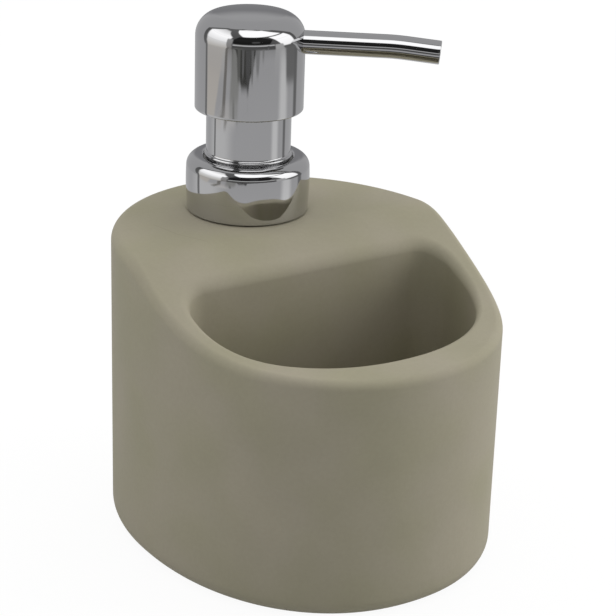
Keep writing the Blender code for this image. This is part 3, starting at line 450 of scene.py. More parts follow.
def feed(tree, node, sockets):
    """Each socket takes a value, or a link from another node's output."""
    for name, value in sockets.items():
        if isinstance(value, bpy.types.NodeSocket):
            tree.links.new(value, node.inputs[name])
        else:
            node.inputs[name].default_value = value


def add(tree, kind, sockets=None, **settings):
    """Adds one node with its settings, and feeds its sockets."""
    node = tree.nodes.new(kind)
    for name, value in settings.items():
        setattr(node, name, value)
    feed(tree, node, sockets or {})
    return node


def new_finish(name):
    """An empty material: its tree, its shader, and the object coordinates that its patterns use."""
    made = bpy.data.materials.new(name)
    made.use_nodes = True
    tree = made.node_tree
    tree.nodes.clear()
    shader = add(tree, "ShaderNodeBsdfPrincipled")
    add(tree, "ShaderNodeOutputMaterial", {"Surface": shader.outputs["BSDF"]})
    return made, tree, shader, add(tree, "ShaderNodeTexCoord").outputs["Object"]


def scuff(tree, at, start, end):
    """How strongly a hairline shows: 1 along the line from start to end, 0 past its width and its ends."""
    run = Vector(end) - Vector(start)
    along = run.normalized()
    across = Vector((-along.y, along.x, 0))
    middle = tuple(Vector(start) + run / 2)
    away = add(tree, "ShaderNodeVectorMath", {0: at, 1: middle}, operation="SUBTRACT").outputs["Vector"]
    shares = []
    faded = ((across, 0, SCUFF_WIDTH), (along, run.length * SCUFF_FULL, run.length / 2))
    for direction, full, none in faded:
        reach = add(tree, "ShaderNodeVectorMath", {0: away, 1: tuple(direction)}, operation="DOT_PRODUCT")
        size = add(tree, "ShaderNodeMath", {0: reach.outputs["Value"]}, operation="ABSOLUTE").outputs[0]
        fading = {"Value": size, "From Min": full, "From Max": none, "To Min": 1.0, "To Max": 0.0}
        shares.append(add(tree, "ShaderNodeMapRange", fading).outputs["Result"])
    return add(tree, "ShaderNodeMath", {0: shares[0], 1: shares[1]}, operation="MULTIPLY").outputs[0]


def matt_glazed_stoneware(colours):
    """Slip-cast stoneware under a matt glaze: an even greige with soft drifts of hue, a faint eggshell
    surface, a few hairline scuffs, and bare clay where the foot was wiped for the kiln."""
    made, tree, shader, at = new_finish("Matt glazed stoneware")
    drift, patch, speck, eggshell, swell = (
        add(tree, "ShaderNodeTexNoise", {"Vector": at, "Scale": scale, "Detail": detail, "Roughness": rough})
        for scale, detail, rough in (
            (48.0, 2.0, 0.45),
            (45.0, 1.5, 0.4),
            (900.0, 2.0, 0.6),
            (1200.0, 1.0, 0.5),
            (110.0, 1.0, 0.4),
        )
    )
    olive, taupe, plain, clay = (
        (*tone, 1) for tone in (colours.glaze_olive, colours.glaze_taupe, colours.glaze, colours.raw_clay)
    )
    hue = add(tree, "ShaderNodeMapRange", {"Value": patch.outputs["Fac"], "From Min": 0.35, "From Max": 0.65})
    sides = {"Factor": hue.outputs["Result"], "A": olive, "B": taupe}
    tint = add(tree, "ShaderNodeMix", sides, data_type="RGBA").outputs["Result"]
    glaze = add(tree, "ShaderNodeMix", {"Factor": 0.3, "A": plain, "B": tint}, data_type="RGBA")
    drifting = {"Value": drift.outputs["Fac"], **NOISE_MIDDLE}
    shade = add(tree, "ShaderNodeMapRange", {**drifting, "To Min": 0.965, "To Max": 1.03}).outputs["Result"]
    gloss = add(tree, "ShaderNodeMapRange", {**drifting, "To Min": 0.60, "To Max": 0.70}).outputs["Result"]
    specks = {"Value": speck.outputs["Fac"], **NOISE_MIDDLE, "To Min": 0.98, "To Max": 1.02}
    grain = add(tree, "ShaderNodeMapRange", specks).outputs["Result"]
    depth = add(tree, "ShaderNodeMath", {0: shade, 1: grain}, operation="MULTIPLY").outputs[0]
    worn = 0
    for start, end in SCUFFS:
        line = scuff(tree, at, (*start, TOP), (*end, TOP))
        worn = add(tree, "ShaderNodeMath", {0: worn, 1: line}, operation="MAXIMUM").outputs[0]
    dulled = add(tree, "ShaderNodeMapRange", {"Value": worn, "To Min": 1.0, "To Max": 0.8}).outputs["Result"]
    marked = add(tree, "ShaderNodeMath", {0: depth, 1: dulled}, operation="MULTIPLY").outputs[0]
    faded = {0: glaze.outputs["Result"], "Scale": marked}
    toned = add(tree, "ShaderNodeVectorMath", faded, operation="SCALE").outputs["Vector"]
    height = add(tree, "ShaderNodeSeparateXYZ", {"Vector": at}).outputs["Z"]
    bare = add(tree, "ShaderNodeMath", {0: height, 1: WIPED_HEIGHT}, operation="LESS_THAN").outputs[0]
    shown = add(tree, "ShaderNodeMix", {"Factor": bare, "A": toned, "B": clay}, data_type="RGBA")
    dents = {"Height": eggshell.outputs["Fac"], "Strength": 0.35, "Distance": 0.00004}
    fine = add(tree, "ShaderNodeBump", dents).outputs["Normal"]
    waves = {"Height": swell.outputs["Fac"], "Strength": 0.30, "Distance": 0.00025, "Normal": fine}
    broad = add(tree, "ShaderNodeBump", waves).outputs["Normal"]
    feed(tree, shader, {"Base Color": shown.outputs["Result"], "Roughness": gloss})
    feed(tree, shader, {"Normal": broad, "IOR": 1.5})
    return made


def mirror_chrome_plate(colours):
    """Bright chrome on moulded plastic: a mirror with the moulding's faint swell and a trace of wiping."""
    made, tree, shader, at = new_finish("Mirror chrome plate")
    wiping = {"Vector": at, "Scale": 260.0, "Detail": 3.0, "Roughness": 0.6}
    wiped = add(tree, "ShaderNodeTexNoise", wiping).outputs["Fac"]
    traces = {"Value": wiped, **NOISE_MIDDLE, "To Min": 0.025, "To Max": 0.055}
    gloss = add(tree, "ShaderNodeMapRange", traces).outputs["Result"]
    moulding = {"Vector": at, "Scale": 90.0, "Detail": 1.0, "Roughness": 0.4}
    swell = add(tree, "ShaderNodeTexNoise", moulding).outputs["Fac"]
    waves = add(tree, "ShaderNodeBump", {"Height": swell, "Strength": 0.20, "Distance": 0.00020})
    feed(tree, shader, {"Base Color": (*colours.chrome, 1), "Metallic": 1.0})
    feed(tree, shader, {"Roughness": gloss, "Normal": waves.outputs["Normal"]})
    return made


def moulded_plastic(name, tone, roughness, translucency=0.0):
    """Moulded plastic: an even colour, a satin skin that varies a little, and fine tool marks."""
    made, tree, shader, at = new_finish(name)
    patches = {"Vector": at, "Scale": 220.0, "Detail": 2.0, "Roughness": 0.5}
    cloud = {"Value": add(tree, "ShaderNodeTexNoise", patches).outputs["Fac"], **NOISE_MIDDLE}
    shade = add(tree, "ShaderNodeMapRange", {**cloud, "To Min": 0.96, "To Max": 1.03}).outputs["Result"]
    toned = add(tree, "ShaderNodeVectorMath", {0: tone, "Scale": shade}, operation="SCALE").outputs["Vector"]
    satin = {**cloud, "To Min": roughness - SATIN_SPREAD, "To Max": roughness + SATIN_SPREAD}
    gloss = add(tree, "ShaderNodeMapRange", satin).outputs["Result"]
    tooling = {"Vector": at, "Scale": 1500.0, "Detail": 1.0, "Roughness": 0.5}
    marks = add(tree, "ShaderNodeTexNoise", tooling).outputs["Fac"]
    skin = add(tree, "ShaderNodeBump", {"Height": marks, "Strength": 0.15, "Distance": 0.00002})
    feed(tree, shader, {"Base Color": toned, "Roughness": gloss, "Normal": skin.outputs["Normal"]})
    feed(tree, shader, {"Subsurface Weight": translucency, "Subsurface Radius": (0.004, 0.004, 0.004)})
    return made


def closed_cell_foam(colours):
    """Closed-cell polyethylene foam: a matt skin of cells about 0.3 mm across."""
    made, tree, shader, at = new_finish("Closed-cell foam")
    cells = add(tree, "ShaderNodeTexVoronoi", {"Vector": at, "Scale": 3300.0}).outputs["Distance"]
    dimming = {"Value": cells, "From Max": 0.8, "To Min": 1.0, "To Max": 0.88}
    shade = add(tree, "ShaderNodeMapRange", dimming).outputs["Result"]
    toned = add(tree, "ShaderNodeVectorMath", {0: colours.polypropylene, "Scale": shade}, operation="SCALE")
    dents = add(tree, "ShaderNodeBump", {"Height": cells, "Strength": 0.5, "Distance": 0.00005})
    skin = {"Base Color": toned.outputs["Vector"], "Normal": dents.outputs["Normal"], "Roughness": 0.8}
    feed(tree, shader, skin)
    return made


def drawn_steel(colours, name, stretch):
    """Drawn or ground stainless steel: fine scratches that run the way the piece was drawn."""
    made, tree, shader, at = new_finish(name)
    drawn = add(tree, "ShaderNodeMapping", {"Vector": at, "Scale": stretch}).outputs["Vector"]
    fine = {"Vector": drawn, "Scale": 1000.0, "Detail": 2.0, "Roughness": 0.6}
    scratches = add(tree, "ShaderNodeTexNoise", fine).outputs["Fac"]
    ground = {"Value": scratches, **NOISE_MIDDLE, "To Min": 0.18, "To Max": 0.34}
    gloss = add(tree, "ShaderNodeMapRange", ground).outputs["Result"]
    marks = add(tree, "ShaderNodeBump", {"Height": scratches, "Strength": 0.2, "Distance": 0.00001})
    feed(tree, shader, {"Base Color": (*colours.steel, 1), "Metallic": 1.0})
    feed(tree, shader, {"Roughness": gloss, "Normal": marks.outputs["Normal"]})
    return made


class DISPENSER_OT_ceramic(bpy.types.Operator):
    """Build the ceramic body with its ramp, sponge pocket, reservoir and neck hole"""

    bl_idname = "dispenser.ceramic"
    bl_label = "Ceramic body"

    def execute(self, context):
        sizes = context.scene.dispenser_ceramic
        skin = surface("ceramic_surface", ceramic_rows(sizes))
        hollow = surface("reservoir_hollow", reservoir_rows(sizes))
        radius, reach = sizes.neck_hole, sizes.neck_wall
        rod = np.array([[0, -2 * reach], [radius, -2 * reach], [radius, reach], [0, reach]])
        mesh = cut(skin, (hollow, turned("neck_hole", rod, sizes.columns // 4)))
        mesh.name = "ceramic_surface"
        glaze = matt_glazed_stoneware(context.scene.dispenser_colours)
        place("ceramic_surface", mesh, "ceramic", ("ceramic_body",), glaze)
        return {"FINISHED"}


class DISPENSER_OT_collar(bpy.types.Operator):
    """Build the chromed cover of the screw collar, a thin cup with a round shoulder"""

    bl_idname = "dispenser.collar"
    bl_label = "Collar cover"

    def execute(self, context):
        sizes = context.scene.dispenser_pump
        lip = sizes.collar_skin / 2
        inner = sizes.collar_lip
        hole = SLEEVE_FOOT_RADIUS + lip
        rim = (hole + inner, COLLAR_TOP - inner)
        centre = (sizes.collar_upper_radius - sizes.collar_shoulder, COLLAR_TOP - sizes.collar_shoulder)
        rise = np.linspace(COLLAR_BOTTOM + lip, centre[1], 25)
        below = np.cos(np.clip(rise / sizes.collar_waist, 0, 1) * math.pi / 2) ** 2
        above = np.clip((rise - sizes.collar_waist) / (centre[1] - sizes.collar_waist), 0, 1) ** 2
        drawn_in = (COLLAR_RADIUS - sizes.collar_foot_radius) * below
        drawn_in = drawn_in + (COLLAR_RADIUS - sizes.collar_upper_radius) * above
        outline = np.vstack(
            [
                corner((sizes.collar_foot_radius - lip, COLLAR_BOTTOM + lip), lip, 180, 350),
                np.c_[COLLAR_RADIUS - drawn_in, rise],
                corner(centre, sizes.collar_shoulder, 5, 90, 20),
                corner(rim, inner, 90, 180, 16),
                [(hole + sizes.collar_skin, COLLAR_TOP - inner)],
                corner(centre, sizes.collar_shoulder - sizes.collar_skin, 90, 0, 8),
            ]
        )
        mesh = turned("collar_surface", outline, sizes.columns)
        place("collar_surface", mesh, "collar", ("collar_shell",), context.scene["chrome"])
        return {"FINISHED"}


class DISPENSER_OT_sleeve(bpy.types.Operator):
    """Build the chromed guide sleeve with the bead round its foot"""

    bl_idname = "dispenser.sleeve"
    bl_label = "Guide sleeve"

    def execute(self, context):
        sizes = context.scene.dispenser_pump
        radius, bead, edge = sizes.sleeve_radius, sizes.sleeve_bead, sizes.sleeve_edge
        inside = radius - sizes.sleeve_skin
        low = COLLAR_TOP + bead
        outline = np.vstack(
            [
                [(inside, SLEEVE_BOTTOM), (SLEEVE_FOOT_RADIUS - bead / 2, SLEEVE_BOTTOM)],
                corner((SLEEVE_FOOT_RADIUS + sizes.bead_overhang - bead, low), bead, -80, 70, 16),
                corner((radius + bead, low + 2 * bead), bead, 255, 180, 12),
                corner((radius - edge, SLEEVE_TOP - edge), edge, 0, 90),
                [(sizes.stem_hole, SLEEVE_TOP), (sizes.stem_hole, SLEEVE_TOP - sizes.sleeve_skin)],
                [(inside, SLEEVE_TOP - sizes.sleeve_skin)],
            ]
        )
        mesh = turned("sleeve_surface", outline, sizes.columns)
        place("sleeve_surface", mesh, "pump_unit", ("guide_sleeve",), context.scene["chrome"])
        return {"FINISHED"}


class DISPENSER_OT_head(bpy.types.Operator):
    """Build the chromed press head with its dome and the hole for the spout"""

    bl_idname = "dispenser.head"
    bl_label = "Press head"

    def execute(self, context):
        sizes = context.scene.dispenser_pump
        crown_slope = 8.0  # degrees
        lip = sizes.head_skin / 2
        radius = sizes.dome_radius
        steep = math.radians(90 - crown_slope)
        crown_edge = HEAD_RADIUS - radius + radius * math.cos(steep)
        crown_rise = crown_edge * math.tan(math.radians(crown_slope)) / 2
        middle = HEAD_TOP - crown_rise - radius * math.sin(steep)
        share = np.linspace(1, 0, 12)[1:]
        crown = np.c_[crown_edge * share, HEAD_TOP - crown_rise * share**2]
        inside = corner((HEAD_RADIUS - radius, middle), radius - sizes.head_skin, 90 - crown_slope, 0, 16)
        outline = np.vstack(
            [
                [(0, HEAD_TOP - sizes.head_skin)],
                crown[-2:0:-3] - (0, sizes.head_skin),
                inside,
                corner((HEAD_RADIUS - lip, HEAD_BOTTOM + lip), lip, 180, 360),
                corner((HEAD_RADIUS - radius, middle), radius, 0, 90 - crown_slope, 40),
                crown,
            ]
        )
        shell = turned("head_surface", outline, sizes.columns)
        hole_radius = sizes.spout_radius + sizes.spout_gap
        bore = np.array([[0.5, 0], [0.5, hole_radius], [1, hole_radius], [1, 0]])
        hole = surface("spout_hole", spout_rows(sizes, bore))
        mesh = cut(shell, (hole,))
        mesh.name = "head_surface"
        place("head_surface", mesh, "head", ("head_shell",), context.scene["chrome"])
        return {"FINISHED"}


def spout_rows(sizes, stations, columns=64):
    """Circles square to the spout's path. A station is (share of the path's length, radius).

    The path runs straight out, turns down on an arc of radius (bend's run) / sin(bend), and ends straight.
    """
    run = sizes.spout_bend_start - sizes.spout_start
    arc_radius = (sizes.spout_bend_end - sizes.spout_bend_start) / math.sin(sizes.spout_bend)
    arc = arc_radius * sizes.spout_bend
    last = (sizes.spout_end - sizes.spout_bend_end) / math.cos(sizes.spout_bend)
    travelled = stations[:, 0] * (run + arc + last)
    turn = np.clip((travelled - run) / arc_radius, 0, sizes.spout_bend)
    beyond = np.maximum(travelled - run - arc, 0)
    straight = sizes.spout_start + np.minimum(travelled, run)
    reach = straight + arc_radius * np.sin(turn) + beyond * np.cos(turn)
    fall = arc_radius * (1 - np.cos(turn)) + beyond * np.sin(turn)
    angle = np.linspace(0, 2 * math.pi, columns, endpoint=False)
    side = stations[:, 1:] * np.cos(angle)
    lift = stations[:, 1:] * np.sin(angle)
    out = reach[:, None] + lift * np.sin(turn)[:, None]
    up = TOP + sizes.spout_height - fall[:, None] + lift * np.cos(turn)[:, None]
    heading = sizes.spout_heading
    x = out * math.cos(heading) - side * math.sin(heading)
    y = PUMP_Y + out * math.sin(heading) + side * math.cos(heading)
    return np.stack([x, y, up], axis=-1)


class DISPENSER_OT_spout(bpy.types.Operator):
    """Build the chromed spout, a tube that bends gently down and ends in a rounded lip"""

    bl_idname = "dispenser.spout"
    bl_label = "Spout"

    def execute(self, context):
        sizes = context.scene.dispenser_pump
        per_metre = 1 / (sizes.spout_end - sizes.spout_start)
        lip = sizes.spout_lip
        bore = sizes.spout_radius - sizes.spout_wall
        share = np.linspace(0, 1 - lip * per_metre, 60)
        rings = [np.c_[share, np.full(len(share), sizes.spout_radius)]]
        for middle, start, end in ((sizes.spout_radius - lip, 90, 0), (bore + lip, 0, -90)):
            arc = corner((0, middle), lip, start, end, 6)
            rings.append(np.c_[1 - (lip - arc[:, 0]) * per_metre, arc[:, 1]])
        back = share[::-4]
        rings.append(np.c_[back, np.full(len(back), bore)])
        mesh = surface("spout_surface", spout_rows(sizes, np.vstack(rings)), looped=True)
        place("spout_surface", mesh, "head", ("spout_tube",), context.scene["chrome"])
        return {"FINISHED"}


def spring_rows(sizes, bottom, top, sides=12, points_per_turn=36):
    """Circles round a helix: x = R cos t, y = axis + R sin t, with the first and the last turn closed up.

    The height grows by the seat's pitch in those two turns and by the open pitch between, eased from one to
    the other. Each circle lies across the wire, and one more row at each end closes it.
    """
    turns = sizes.spring_turns
    seat_pitch = 2 * sizes.wire_radius + sizes.spring_end_gap
    low, high = bottom + sizes.wire_radius, top - sizes.wire_radius
    open_pitch = (high - low - 2 * seat_pitch) / (turns - 2)
    turn = np.linspace(0, turns, turns * points_per_turn + 1)
    opened = soft_step(turn - 1, sizes.spring_easing) - soft_step(turn - turns + 1, sizes.spring_easing)
    height = low + opened * open_pitch + (turn - opened) * seat_pitch
    angle = 2 * math.pi * turn
    climb = np.gradient(height, angle)
    out = np.stack([np.cos(angle), np.sin(angle), 0 * angle], axis=-1)
    middle = np.array([0, PUMP_Y, 0]) + sizes.spring_radius * out + height[:, None] * (0, 0, 1)
    forward = np.stack([-out[:, 1], out[:, 0], 0 * angle], axis=-1)
    across = sizes.spring_radius * np.array([0, 0, 1]) - climb[:, None] * forward
    across = across / np.linalg.norm(across, axis=1, keepdims=True)
    side = np.linspace(0, 2 * math.pi, sides, endpoint=False)[None, :, None]
    ring = np.cos(side) * out[:, None] + np.sin(side) * across[:, None]
    rows = middle[:, None] + sizes.wire_radius * ring
    closing = [np.repeat(end[None, None], sides, axis=1) for end in (middle[0], middle[-1])]
    return np.concatenate([closing[0], rows, closing[1]])


class DISPENSER_OT_spring(bpy.types.Operator):
    """Build the return spring, its end turns closed up and the turns between evenly spaced"""

    bl_idname = "dispenser.spring"
    bl_label = "Return spring"

    def execute(self, context):
        low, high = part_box("return_spring")
        mesh = surface("spring_wire", spring_rows(context.scene.dispenser_pump, low.z, high.z))
        wire = drawn_steel(context.scene.dispenser_colours, "Drawn spring wire", (1.0, 1.0, 1.0))
        piece = place("spring_wire", mesh, "pump_unit", ("return_spring",), wire)
        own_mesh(piece)
        return {"FINISHED"}


class DISPENSER_OT_inner_finishes(bpy.types.Operator):
    """Give the pieces inside the body and the pump their finishes"""

    bl_idname = "dispenser.inner_finishes"
    bl_label = "Finishes of the inner pieces"

    def execute(self, context):
        colours = context.scene.dispenser_colours
        white = moulded_plastic("Moulded white polypropylene", colours.polypropylene, 0.42, 0.15)
        natural = moulded_plastic("Moulded natural polypropylene", colours.milky, 0.35, 0.35)
        soft = moulded_plastic("Soft polyethylene", colours.milky, 0.50, 0.30)
        grey = moulded_plastic("Moulded grey polypropylene", colours.grey_plastic, 0.45)
        silicone = moulded_plastic("Moulded clear grey silicone", colours.silicone, 0.48, 0.5)
        finishes = (
            (white, ("neck_plug", "barrel_cap", "piston_rod", "head_hub")),
            (natural, ("pump_barrel", "dip_tube")),
            (soft, ("splash_seal", "piston_seal")),
            (grey, ("collar_liner", "ball_cage")),
            (silicone, ("plug_seal",)),
            (closed_cell_foam(colours), ("neck_gasket",)),
            (drawn_steel(colours, "Drawn steel tube", (1.0, 1.0, 0.06)), ("stem_tube",)),
            (drawn_steel(colours, "Ground steel ball", (1.0, 1.0, 1.0)), ("inlet_ball",)),
        )
        for finish, nodes in finishes:
            for node in nodes:
                mesh = frame["nodes"][node].data
                mesh.materials.clear()
                mesh.materials.append(finish)
        return {"FINISHED"}


CAMERA_BEARING = -123.7
ROOM_RADIUS = 0.6
ROOM_MIDDLE = 0.042
CHROME_RETURN = 0.565
ROOM_TONE = "#8E8E8F"
# The studio as the chrome sees it, as painted reflections: lamps, dark things and shadows painted in this
# order on a round room that glows. Bearings count from the camera's and elevations from the horizon, both in
# degrees, seen from the pump's head.
# Each shape: name, lower edge and upper edge as (from, to, elevation), tone below, tone above,
# softness of its sides, of its lower edge and of its upper edge.
PAINTED_REFLECTION_SHAPES = (
    ("behind", (165, 195, -90), (165, 195, 20), "#606062", "#6C6C6E", 12, 1, 12),
    ("table", (-180, 180, -90), (-180, 180, -16), "#ACACAC", "#909091", 1, 1, 4),
    ("table_shadow", (-70, 70, -54), (-70, 70, -30), "#404040", "#353535", 16, 3, 3),
    ("frame_low", (-106, 116, -13), (-116, 106, 30), "#585858", "#4A4A4A", 3, 2, 1),
    ("frame_middle", (-116, 106, 29), (-92, 86, 62), "#4A4A4A", "#565656", 5, 1, 4),
    ("frame_high", (-92, 86, 60), (-50, 45, 79), "#565656", "#5A5A5A", 8, 4, 4),
    ("left_panel_low", (-98, -45, -14), (-98, -47, 9), "#ABA8A3", "#CFCFCE", 6, 4, 6),
    ("left_panel_middle", (-99, -45, 8), (-105, -40, 34), "#DCDCDC", "#FFFFFF", 6, 8, 2),
    ("left_panel_high", (-105, -40, 34), (-84, -62, 57), "#FFFFFF", "#C4C4C4", 6, 2, 6),
    ("top_panel", (-16, 84, 42), (-50, 54, 71), "#FFFFFF", "#FFFFFF", 5, 3, 2),
    ("top_panel_end", (-50, 54, 70), (-24, 14, 77), "#FFFFFF", "#E6E6E6", 8, 2, 3),
    ("right_panel", (72, 105, -5), (57, 98, 24), "#F2F2F2", "#FFFFFF", 4, 5, 1),
    ("right_panel_high", (57, 98, 24), (46, 90, 38), "#FFFFFF", "#FFFFFF", 4, 1, 3),
    ("under_right_panel", (54, 78, -14), (54, 72, 4), "#969696", "#9C9C9C", 4, 3, 5),
    ("stand_side", (-47, -33, -14), (-48, -33, 26), "#767472", "#8A8A8A", 3, 2, 8),
    ("under_camera", (-36, 56, -13.4), (-36, 52, 8), "#4A4A4A", "#3A3A3A", 4, 1.5, 3),
    ("light_rail", (-34, 54, -1), (-34, 52, 5), "#A4A4A4", "#A4A4A4", 4, 2, 2),
    ("camera_low", (-35, 43, 8), (-35, 52, 27), "#141414", "#202020", 4, 5, 1),
    ("camera_high", (-35, 52, 26), (-24, 28, 40), "#202020", "#181818", 5, 1, 3),
    ("lens_glint", (6, 22, 15), (6, 22, 21), "#484848", "#484848", 5, 3, 3),
    ("stripe_light", (66, 88, -40), (68, 86, -14), "#C4C4C4", "#AEAEAE", 12, 1, 2),
    ("table_left", (-112, -52, -90), (-112, -52, -17.6), "#ABABAB", "#A8A8A8", 36, 1, 1),
    ("warm_side", (-97, -78, -17.9), (-97, -56, -14), "#A5A19B", "#9E9A95", 5, 1, 3),
    ("light_side", (-72, -35, -17.9), (-56, -36, -16.8), "#A9A7A5", "#A09E9C", 12, 1, 1.5),
    ("dark_side", (-104, -97, -40), (-102, -97, -4), "#686868", "#5C5C5C", 3, 1, 6),
    ("leg_slanted", (-70, -62, -18.1), (-56, -49, -17), "#6C6A66", "#686663", 5, 0.6, 0.5),
    ("leg_upright", (-56, -49, -17), (-45, -41, -11), "#686663", "#5E5C5A", 3, 0.5, 6),
    ("leg_thin", (-32, -28, -17.6), (-38, -33, -11), "#5A5A58", "#4C4C4A", 2.5, 0.8, 6),
    ("between_legs", (-40, -22, -17), (-32, -12, -12), "#7C7C7A", "#6C6C6A", 6, 2, 6),
    ("cloth", (-15, -3, -15.9), (-33, 24, -12.6), "#343432", "#3A3A38", 3, 0.7, 1),
    ("cloth_left", (-23, -18, -15.4), (-27, -13, -3), "#565654", "#3E3E3C", 3, 0.6, 12),
    ("cloth_left_tip", (-13, -11, -15.1), (-16, -7, -12), "#5E5E5E", "#4A4A4A", 2, 0.5, 5),
    ("cloth_middle", (-3, 0, -16.2), (-8, 5, -13.2), "#3C3C3C", "#4E4E4E", 2.5, 0.6, 3),
    ("cloth_middle_tip", (6, 8, -15.5), (4, 11, -13), "#686868", "#565656", 2, 0.5, 2),
    ("cloth_right", (16, 20, -14.9), (12, 25, -12.8), "#727272", "#666666", 3, 0.6, 3),
    ("cloth_right_tip", (28, 31, -14.1), (25, 34, -12.4), "#6E6E6E", "#626262", 2, 0.5, 2),
    ("cable", (38, 41, -13.4), (37, 42, 0), "#606060", "#3A3A3A", 2, 0.6, 4),
    ("corner_dark", (84, 112, -15.6), (74, 112, -9), "#606060", "#545454", 7, 1.2, 3),
    ("right_dark", (108, 118, -40), (106, 117, -8), "#7C7C7C", "#4E4E4E", 6, 1, 5),
)


def eased(distance, softness):
    """An edge's cover: 0 outside, 1 inside, and x * x * (3 - 2 * x) across the softness between."""
    share = np.clip(distance / softness + 0.5, 0, 1)
    return share * share * (3 - 2 * share)


def painted_reflection_tones(bearing, elevation):
    """The painted reflections' colours at the given directions: each shape covers the ones before it.

    A shape's sides run straight from its lower edge to its upper one, and its tone changes evenly too.
    """
    tones = np.array(srgb(ROOM_TONE)) + 0 * bearing[..., None]
    for _, lower, upper, tone_below, tone_above, side, low_edge, high_edge in PAINTED_REFLECTION_SHAPES:
        share = np.clip((elevation - lower[2]) / (upper[2] - lower[2]), 0, 1)
        left = lower[0] + share * (upper[0] - lower[0])
        right = lower[1] + share * (upper[1] - lower[1])
        turned_to = left + (bearing - left) % 360
        turned_to = np.where(turned_to > (left + right) / 2 + 180, turned_to - 360, turned_to)
        cover = eased(turned_to - left, side) * eased(right - turned_to, side)
        cover = cover * eased(elevation - lower[2], low_edge) * eased(upper[2] - elevation, high_edge)
        below, above = np.array(srgb(tone_below)), np.array(srgb(tone_above))
        tone = below + share[..., None] * (above - below)
        tones = tones + cover[..., None] * (tone - tones)
    return tones / CHROME_RETURN


def room_rows(columns=720):
    """A round room about the head, its rows closest where the pump's upright sides look: point, tone."""
    elevation = np.radians(
        np.r_[np.linspace(-90, -24, 23)[:-1], np.linspace(-24, -10, 141)[:-1], np.linspace(-10, 90, 101)]
    )[:, None]
    bearing = np.linspace(-180, 180, columns, endpoint=False)[None, :]
    tones = painted_reflection_tones(bearing + 0 * elevation, np.degrees(elevation) + 0 * bearing)
    turn = np.radians(CAMERA_BEARING + bearing)
    flat = ROOM_RADIUS * np.cos(elevation)
    height = TOP + ROOM_MIDDLE + ROOM_RADIUS * np.sin(elevation) + 0 * turn
    points = np.stack([flat * np.cos(turn), PUMP_Y + flat * np.sin(turn), height], axis=-1)
    return points, tones


def stage_mesh(name, rows, finish, closed=False):
    """A plain grid that belongs to the studio, closed round its columns if asked."""
    count, columns = rows.shape[:2]
    index = np.arange(count * columns).reshape(count, columns)
    if closed:
        index = np.hstack([index, index[:, :1]])
    quads = np.stack([index[:-1, :-1], index[:-1, 1:], index[1:, 1:], index[1:, :-1]], axis=-1).reshape(-1, 4)
    mesh = bpy.data.meshes.new(name)
    mesh.from_pydata(rows.reshape(-1, 3).tolist(), [], quads.tolist())
    mesh.materials.append(finish)
    made = bpy.data.objects.new(name, mesh)
    bpy.context.collection.objects.link(made)
    return made


def painted_reflection_room():
    """The painted room: painted reflections and highlights for the chrome, and a painted sheen on the glaze.
    It glows for glossy rays alone, so it neither lights the matt pieces diffusely nor shows.
    """
    made = bpy.data.materials.new("Painted room")
    made.use_nodes = True
    tree = made.node_tree
    tree.nodes.clear()
    paint = add(tree, "ShaderNodeAttribute", attribute_name="tone")
    glow = add(tree, "ShaderNodeEmission", {"Color": paint.outputs["Color"], "Strength": 1.0})
    add(tree, "ShaderNodeOutputMaterial", {"Surface": glow.outputs["Emission"]})
    made.cycles.emission_sampling = "NONE"
    points, tones = room_rows()
    room = stage_mesh("painted_room", points, made, closed=True)
    layer = room.data.color_attributes.new("tone", "FLOAT_COLOR", "POINT")
    layer.data.foreach_set("color", np.concatenate([tones, np.ones_like(tones[..., :1])], axis=-1).ravel())
    room.visible_camera = False
    room.visible_diffuse = False
    room.visible_transmission = False
    room.visible_volume_scatter = False
    room.visible_shadow = False


def lamp(name, place_at, target, size, power):
    """A square soft lamp that faces a target."""
    data = bpy.data.lights.new(name, "AREA")
    data.size = size
    data.energy = power
    made = bpy.data.objects.new(name, data)
    bpy.context.collection.objects.link(made)
    made.location = place_at
    made.rotation_euler = (Vector(target) - Vector(place_at)).to_track_quat("-Z", "Y").to_euler()
    made.visible_glossy = False
    return made


LAMP_TARGET = (0, 0, 0.05)
# Each lamp: name, place, width in metres and power in watts.
LAMPS = (
    ("overhead_softbox", (0.02, 0.09, 1.25), 1.2, 5.6),
    ("right_softbox", (1.10, -0.45, 0.45), 0.8, 8.0),
    ("back_right_softbox", (1.00, 0.50, 0.60), 0.8, 2.1),
    ("back_left_softbox", (-0.90, 0.80, 0.60), 0.9, 3.2),
)
FLOOR_REACH = 3
FLOOR_GLOW = 1.04
FLOOR_GLOW_SHARE = 0.9
SURROUNDINGS = 0.5


